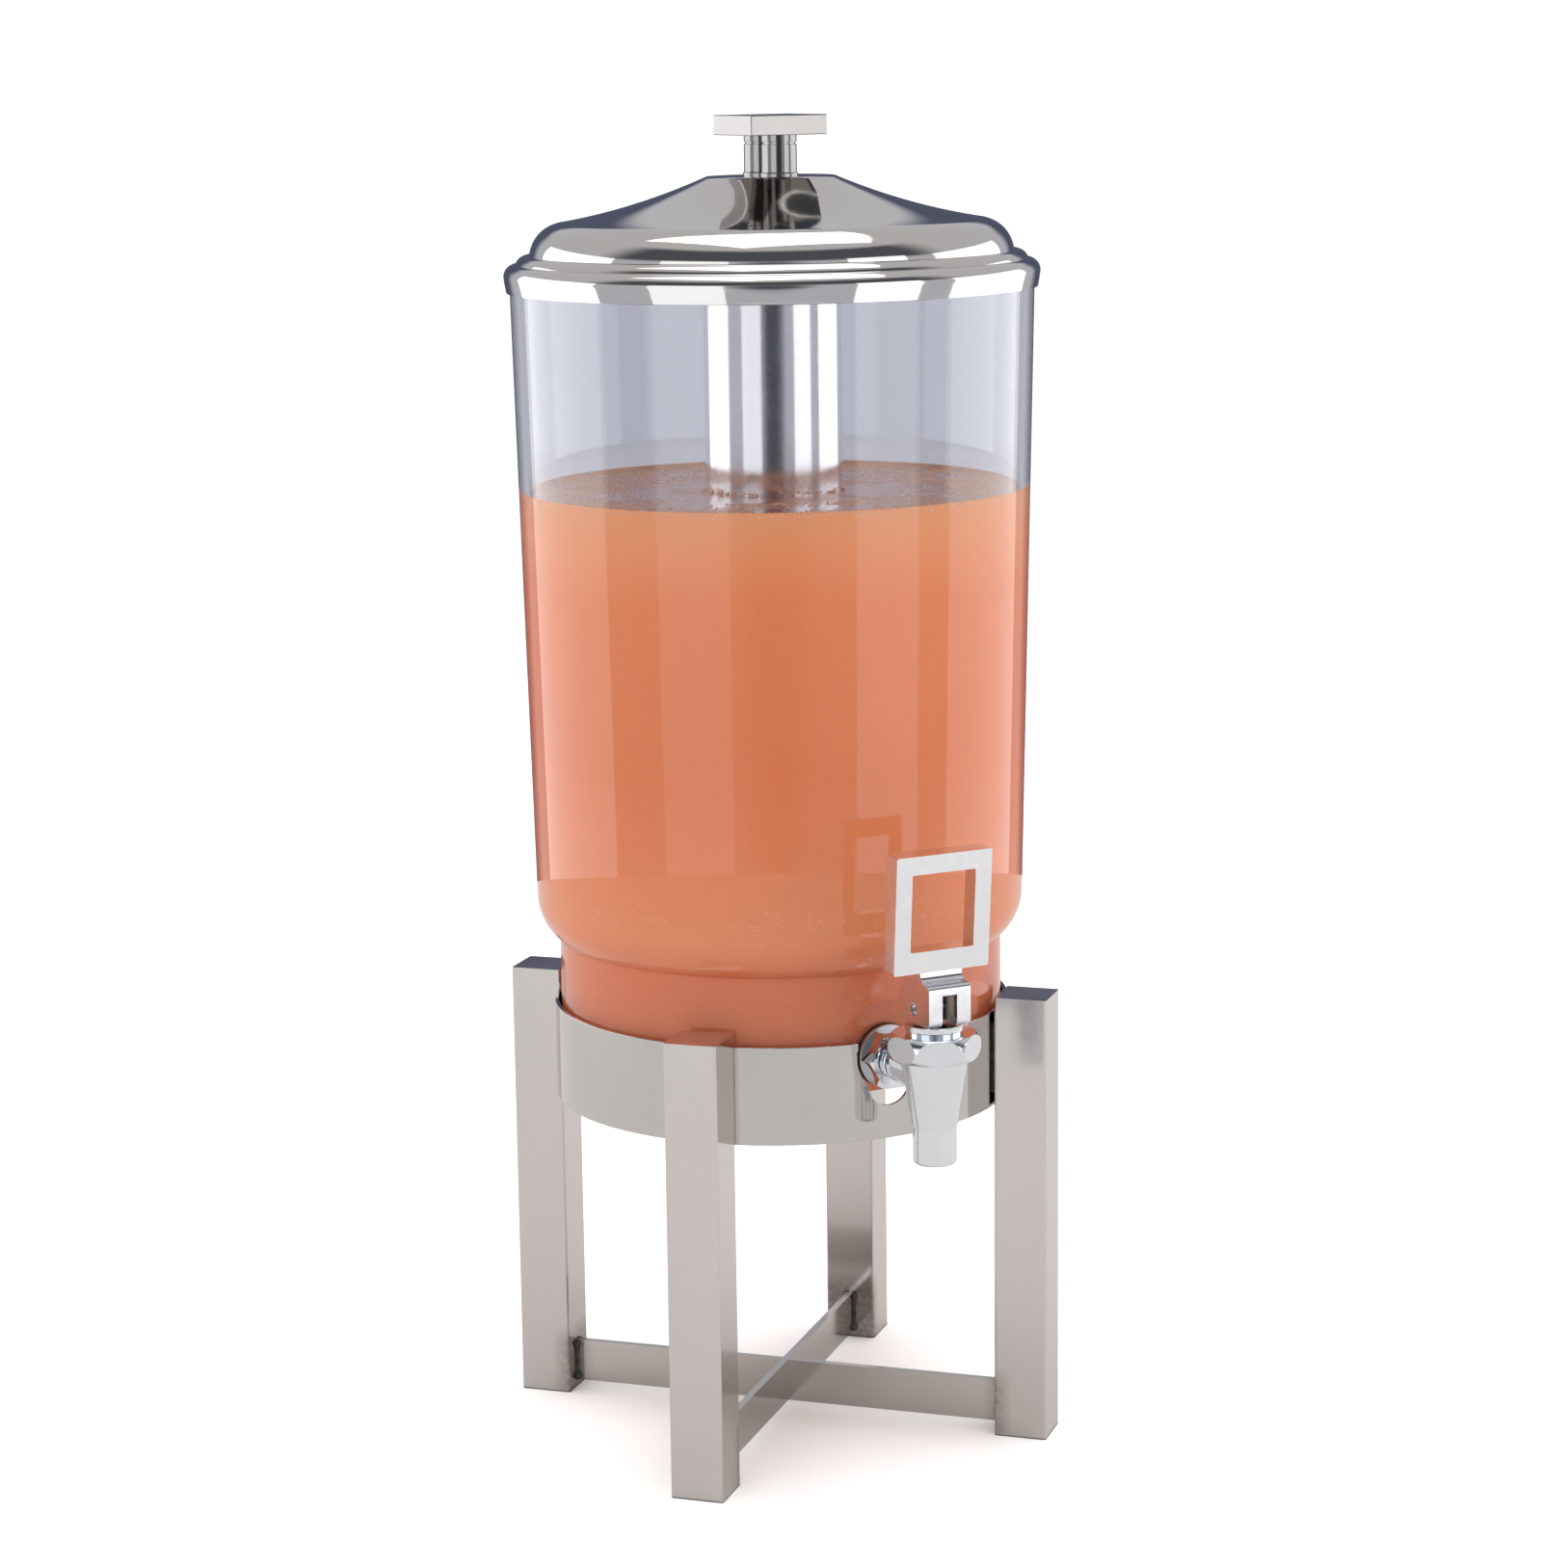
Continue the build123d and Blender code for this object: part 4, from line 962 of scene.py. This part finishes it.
def makeBonnet(shape):
    foot, top = bodyHigh.z, bodyHigh.z + shape["height"]
    centre = (shape["radius"] - shape["round"], (foot + top) / 2)
    swing = asin(shape["height"] / 2 / shape["round"])
    barrel = [(0, foot)] + sweep(centre, shape["round"], -swing, swing, 28) + [(0, top)]
    mesh = lathe("bonnetNut", barrel, 192, (0, faucetY))
    plane = ((0, faucetY, foot - mm), (1, 0, 0), (0, 1, 0))
    flats = prism("flats", hexagon(shape["flats"], shape["turn"]), plane, (0, 2 * shape["height"]))
    mesh = carve(mesh, flats, "INTERSECT", 7)
    step, end = top + shape["collarLowHeight"], bonnetHigh.z
    neck, outer, soft = shape["collarLow"], shape["collar"], shape["soft"]
    collar = [(0, foot + mm), (neck, foot + mm), (neck, step), (outer - soft, step), (outer, step + soft),
              (outer, end - soft), (outer - soft, end), (0, end)]
    mesh = carve(mesh, lathe("collar", collar, 128, (0, faucetY)), "UNION", 7)
    skirt = rectangle(0, shape["skirt"], bonnetLow.z, foot + mm)
    mesh = carve(mesh, lathe("skirt", skirt, 96, (0, faucetY)), "UNION", 7)
    hole = rectangle(0, shape["stemBore"], bonnetLow.z - mm, end + mm)
    return carve(mesh, lathe("stemHole", hole, 48, (0, faucetY)), "DIFFERENCE", 7)


addPiece("bonnetNut", makeBonnet(bonnetShape), "vessel", "chrome", ["bonnet"])
print("faucet made")

# ---- stem and cup ----

stemShape = inMetres({"radius": 3, "tipRound": 0.8, "pinRadius": 1.5, "pinRound": 0.4})
stemLine = rounded(rectangle(0, stemShape["radius"], stemLow.z, stemHigh.z), {2: stemShape["tipRound"]}, 4)
stemMesh = lathe("valveStem", stemLine, 64, (0, faucetY))
addPiece("valveStem", stemMesh, "valve_stem", "stemSteel", ["stem"])

# ---- handle ----

handleShape = inMetres({
    "width": 41.8, "height": 47, "thick": 8, "sideBar": 7, "topBar": 7.4, "footBar": 8.6, "corner": 0.8,
    "windowCorner": 0.7, "windowDepth": (-20, 10), "footRise": 15.3, "footBack": 2.2, "blockHalf": 9.2,
    "heel": 12.5, "bottom": 5.6, "heelRound": 2.5, "faceTop": 9, "stepDepth": 2.5, "stepHeight": 2.2,
    "slotHalf": 3.2, "slotBack": 5.6, "slotTop": 7, "slotRound": 2, "pinBore": 1.52, "counterbore": 2.5,
    "recess": 1.6, "beyond": 20, "soften": 0.7,
}, lean=4.3)


def makeHandle(shape):
    heel, bottom, face, bend = shape["heel"], shape["bottom"], shape["faceTop"], shape["heelRound"]
    deep, high, beyond = shape["stepDepth"], shape["stepHeight"], shape["beyond"]
    front = -shape["thick"] + shape["footBack"]
    back = front + shape["thick"]
    top = shape["footRise"] + 1 * mm
    side = [(-heel, face)]
    side += sweep((bend - heel, bend - bottom), bend, pi, 3 * pi / 2, 8)
    side += sweep((heel - bend, bend - bottom), bend, 3 * pi / 2, 2 * pi, 8)
    side += arc((heel, 0), (0.76 * heel, top / 2), (back, top), 14)
    side += arc((front, top), (front - 0.3 * deep, face + 1.6 * high), (deep - heel, face + high), 8)
    side += arc((deep - heel, face + high), (0.3 * deep - heel, face + 0.7 * high), (-heel, face), 6)[1:-1]
    plane = ((0, faucetY, pinZ), (0, 1, 0), (0, 0, 1))      # its normal is +X
    half = shape["blockHalf"]
    mesh = prism("leverHandle", side, plane, (-half, half))
    lean = radians(shape["lean"])
    foot = Vector((0, faucetY + front, pinZ + shape["footRise"]))
    framePlane = (foot, (1, 0, 0), (0, -sin(lean), cos(lean)))
    w, h = shape["width"] / 2, shape["height"]
    outer = rounded(rectangle(-w, w, 0, h), shape["corner"])
    mesh = carve(mesh, prism("frame", outer, framePlane, (-shape["thick"], 0)), "UNION")
    w, low, h = w - shape["sideBar"], shape["footBar"], h - shape["topBar"]
    window = rounded(rectangle(-w, w, low, h), shape["windowCorner"])
    mesh = carve(mesh, prism("window", window, framePlane, shape["windowDepth"]))
    slot = rectangle(-1.5 * beyond, shape["slotBack"], -beyond, shape["slotTop"])
    slot = rounded(slot, {2: shape["slotRound"]}, 4)
    mesh = carve(mesh, prism("slot", slot, plane, (-shape["slotHalf"], shape["slotHalf"])))
    mesh = carve(mesh, prism("pinHole", circle(shape["pinBore"], 32), plane, (-beyond, beyond)))
    inset = half - shape["recess"]
    for depth in ((inset, beyond), (-beyond, -inset)):
        mesh = carve(mesh, prism("counterbore", circle(shape["counterbore"], 40), plane, depth))
    return mesh


handle = addPiece("leverHandle", makeHandle(handleShape), "lever", "handle", ["handle"])
softenEdges(handle, handleShape["soften"], 40)

pinLine = rectangle(0, stemShape["pinRadius"], pinLow.x, pinHigh.x)
pinMesh = lathe("pivotPin", rounded(pinLine, {1: stemShape["pinRound"], 2: stemShape["pinRound"]}), 40)
pinMesh.transform(Matrix.Translation((0, faucetY, pinZ)) @ Matrix.Rotation(pi / 2, 4, "Y"))
addPiece("pivotPin", pinMesh, "lever", "stemSteel", ["pivot_pin"])
print("handle made")

# ---- CAD pieces that keep their own shape ----

slotFinishes = {
    "satin_steel": "satin", "polished_steel": "mirror", "chrome": "chrome", "clear_plastic": "clear",
    "black_rubber": "blackRubber", "silicone": "silicone", "black_nylon": "blackNylon",
    "stem_steel": "stemSteel", "plain_steel": "plainSteel", "weld": "weld",
}
for row in frame["record"]["subparts"]:
    node = frame["nodes"][row["node"]]
    node.data.materials.clear()
    node.data.materials.append(finishes[slotFinishes[row["material_slot"]]])

# ---- floor, light and camera ----

cameraAngle = -26.94
stageLook = {
    "floorSize": 12.0, "tableRadius": 1.1, "floorTint": (0.98, 0.975, 0.97), "tableTint": (0.56, 0.54, 0.53),
    "backLight": 1.2, "low": (0.53, 0.535, 0.58), "high": (0.56, 0.555, 0.56), "lift": (0.15, 0.6),
    "dark": (0.09, 0.095, 0.11), "bandEnd": (0.80, 0.70),
    "ceiling": ((0.24, 0.34), (-0.1, 0.3)), "doorway": ((-0.40, -0.25), (0.92, 0.995)),
    "wall": (0.085, 0.095, 0.145), "wallTop": (0.34, 0.25), "wallEdge": (-0.82, -0.92),
}


def addFloor(name, mesh, tint):
    piece = addObject(name, mesh)
    shader = Shader(name, Roughness=0.9, Specular_IOR_Level=0.1)
    tone = shader.noise(shader.place(), 3.0, 2.0)
    shader.feed("Base Color", shader.mix(tone, [0.985 * part for part in tint], tint))
    mesh.materials.append(shader.material)
    return piece


def makeDisc(name, radius, steps=96):
    mesh = bmesh.new()
    mesh.faces.new([mesh.verts.new((*point, 0)) for point in circle(radius, steps)])
    return finish(mesh, name)


floor = addFloor("paleFloor", makeDisc("paleFloor", stageLook["floorSize"]), stageLook["floorTint"])
floor.visible_glossy = False
floor.visible_transmission = False
table = addFloor("tableTop", makeDisc("tableTop", stageLook["tableRadius"]), stageLook["tableTint"])
table.location.z = 0.05 * mm
table.visible_camera = False
table.visible_diffuse = False
table.visible_transmission = False
table.visible_shadow = False


def makeRoom(look):
    # white behind the object and for soft light; everything that mirrors the room sees grey, dark in front
    # and with a dark low wall behind
    world = bpy.data.worlds.new("room")
    bpy.context.scene.world = world
    world.use_nodes = True
    world.node_tree.nodes.clear()
    room = Nodes(world.node_tree)

    def step(value, low, high):
        # from 0 at low to 1 at high, smoothly
        made = room.node("MapRange", {"Value": value, "From Min": low, "From Max": high},
                         interpolation_type="SMOOTHSTEP")
        return made.outputs["Result"]

    direction = room.node("TexCoord").outputs["Generated"]
    up = room.node("SeparateXYZ", {"Vector": direction}).outputs["Z"]
    towards = (sin(radians(cameraAngle)), -cos(radians(cameraAngle)), 0)
    front = room.node("VectorMath", {0: direction, 1: towards}, operation="DOT_PRODUCT").outputs["Value"]
    path = room.node("LightPath").outputs
    colour = room.mix(step(up, *look["lift"]), look["low"], look["high"])
    for start, edge in (look["ceiling"], look["doorway"]):
        band = room.math("MULTIPLY", step(up, *start), step(up, *look["bandEnd"]))
        colour = room.mix(room.math("MULTIPLY", band, step(front, *edge)), colour, look["dark"])
    wall = room.math("MULTIPLY", step(up, *look["wallTop"]), step(front, *look["wallEdge"]))
    mirrored = room.math("SUBTRACT", 1.0, path["Is Transmission Ray"])
    colour = room.mix(room.math("MULTIPLY", wall, mirrored), colour, look["wall"])
    grey = room.node("Background", {"Color": colour})
    white = room.node("Background", {"Color": (1, 1, 1, 1), "Strength": look["backLight"]})
    soft = room.node("Math", {0: path["Is Camera Ray"], 1: path["Diffuse Depth"]}, use_clamp=True)
    mix = room.node("MixShader", {0: soft.outputs["Value"], 1: grey.outputs[0], 2: white.outputs[0]})
    room.node("OutputWorld", {"Surface": mix.outputs[0]})


makeRoom(stageLook)

# panels of light: turn is the angle round the object from the camera's side, to the right
panels = {
    "rightNear": {"turn": 50, "height": 0.1, "distance": 1.5, "size": (0.80, 1.8), "power": 1.1},
    "rightFar": {"turn": 108, "height": 0.1, "distance": 1.5, "size": (1.5, 1.8), "power": 1.25},
    "leftFar": {"turn": -107, "height": 0.1, "distance": 1.5, "size": (1.6, 1.8), "power": 1.3},
    "leftNear": {"turn": -36, "height": 0.1, "distance": 1.7, "size": (1.0, 1.8), "power": 0.75},
    "top": {"turn": 0, "height": 2.1, "distance": 0.0, "size": (1.5, 1.5), "power": 1.6},
}


def addPanel(name, look):
    light = bpy.data.lights.new(name, "AREA")
    light.shape = "RECTANGLE"
    light.size, light.size_y = look["size"]
    light.energy = look["power"] * look["size"][0] * look["size"][1] * pi
    piece = addObject(name, light)
    turn = radians(cameraAngle + look["turn"])
    piece.location = (look["distance"] * sin(turn), -look["distance"] * cos(turn), look["height"])
    target = Vector((0, 0, look["height"] if look["distance"] else 0))
    piece.rotation_euler = (target - piece.location).to_track_quat("-Z", "Y").to_euler()
    piece.visible_camera = False


for name, look in panels.items():
    addPanel(name, look)

cameraLook = {"distance": 1.57545, "height": 0.56475, "pitch": 11.35, "yaw": 0.626, "roll": -0.862,
              "lens": 88.73, "shift": (0.0296, 0.0340)}


def addCamera(look):
    data = bpy.data.cameras.new("camera")
    data.lens = look["lens"]
    data.sensor_width = 36
    data.shift_x, data.shift_y = look["shift"]
    piece = addObject("camera", data)
    turn = radians(cameraAngle)
    heading = turn + radians(look["yaw"])
    pitch, roll = radians(look["pitch"]), radians(look["roll"])
    forward = Vector((-sin(heading) * cos(pitch), cos(heading) * cos(pitch), -sin(pitch)))
    level = Vector((cos(heading), sin(heading), 0))
    upright = level.cross(forward)
    right = level * cos(roll) + upright * sin(roll)
    up = -level * sin(roll) + upright * cos(roll)
    place = Vector((sin(turn) * look["distance"], -cos(turn) * look["distance"], look["height"]))
    piece.matrix_world = Matrix((
        (right.x, up.x, -forward.x, place.x), (right.y, up.y, -forward.y, place.y),
        (right.z, up.z, -forward.z, place.z), (0, 0, 0, 1)))
    bpy.context.scene.camera = piece


addCamera(cameraLook)
print("stage set")
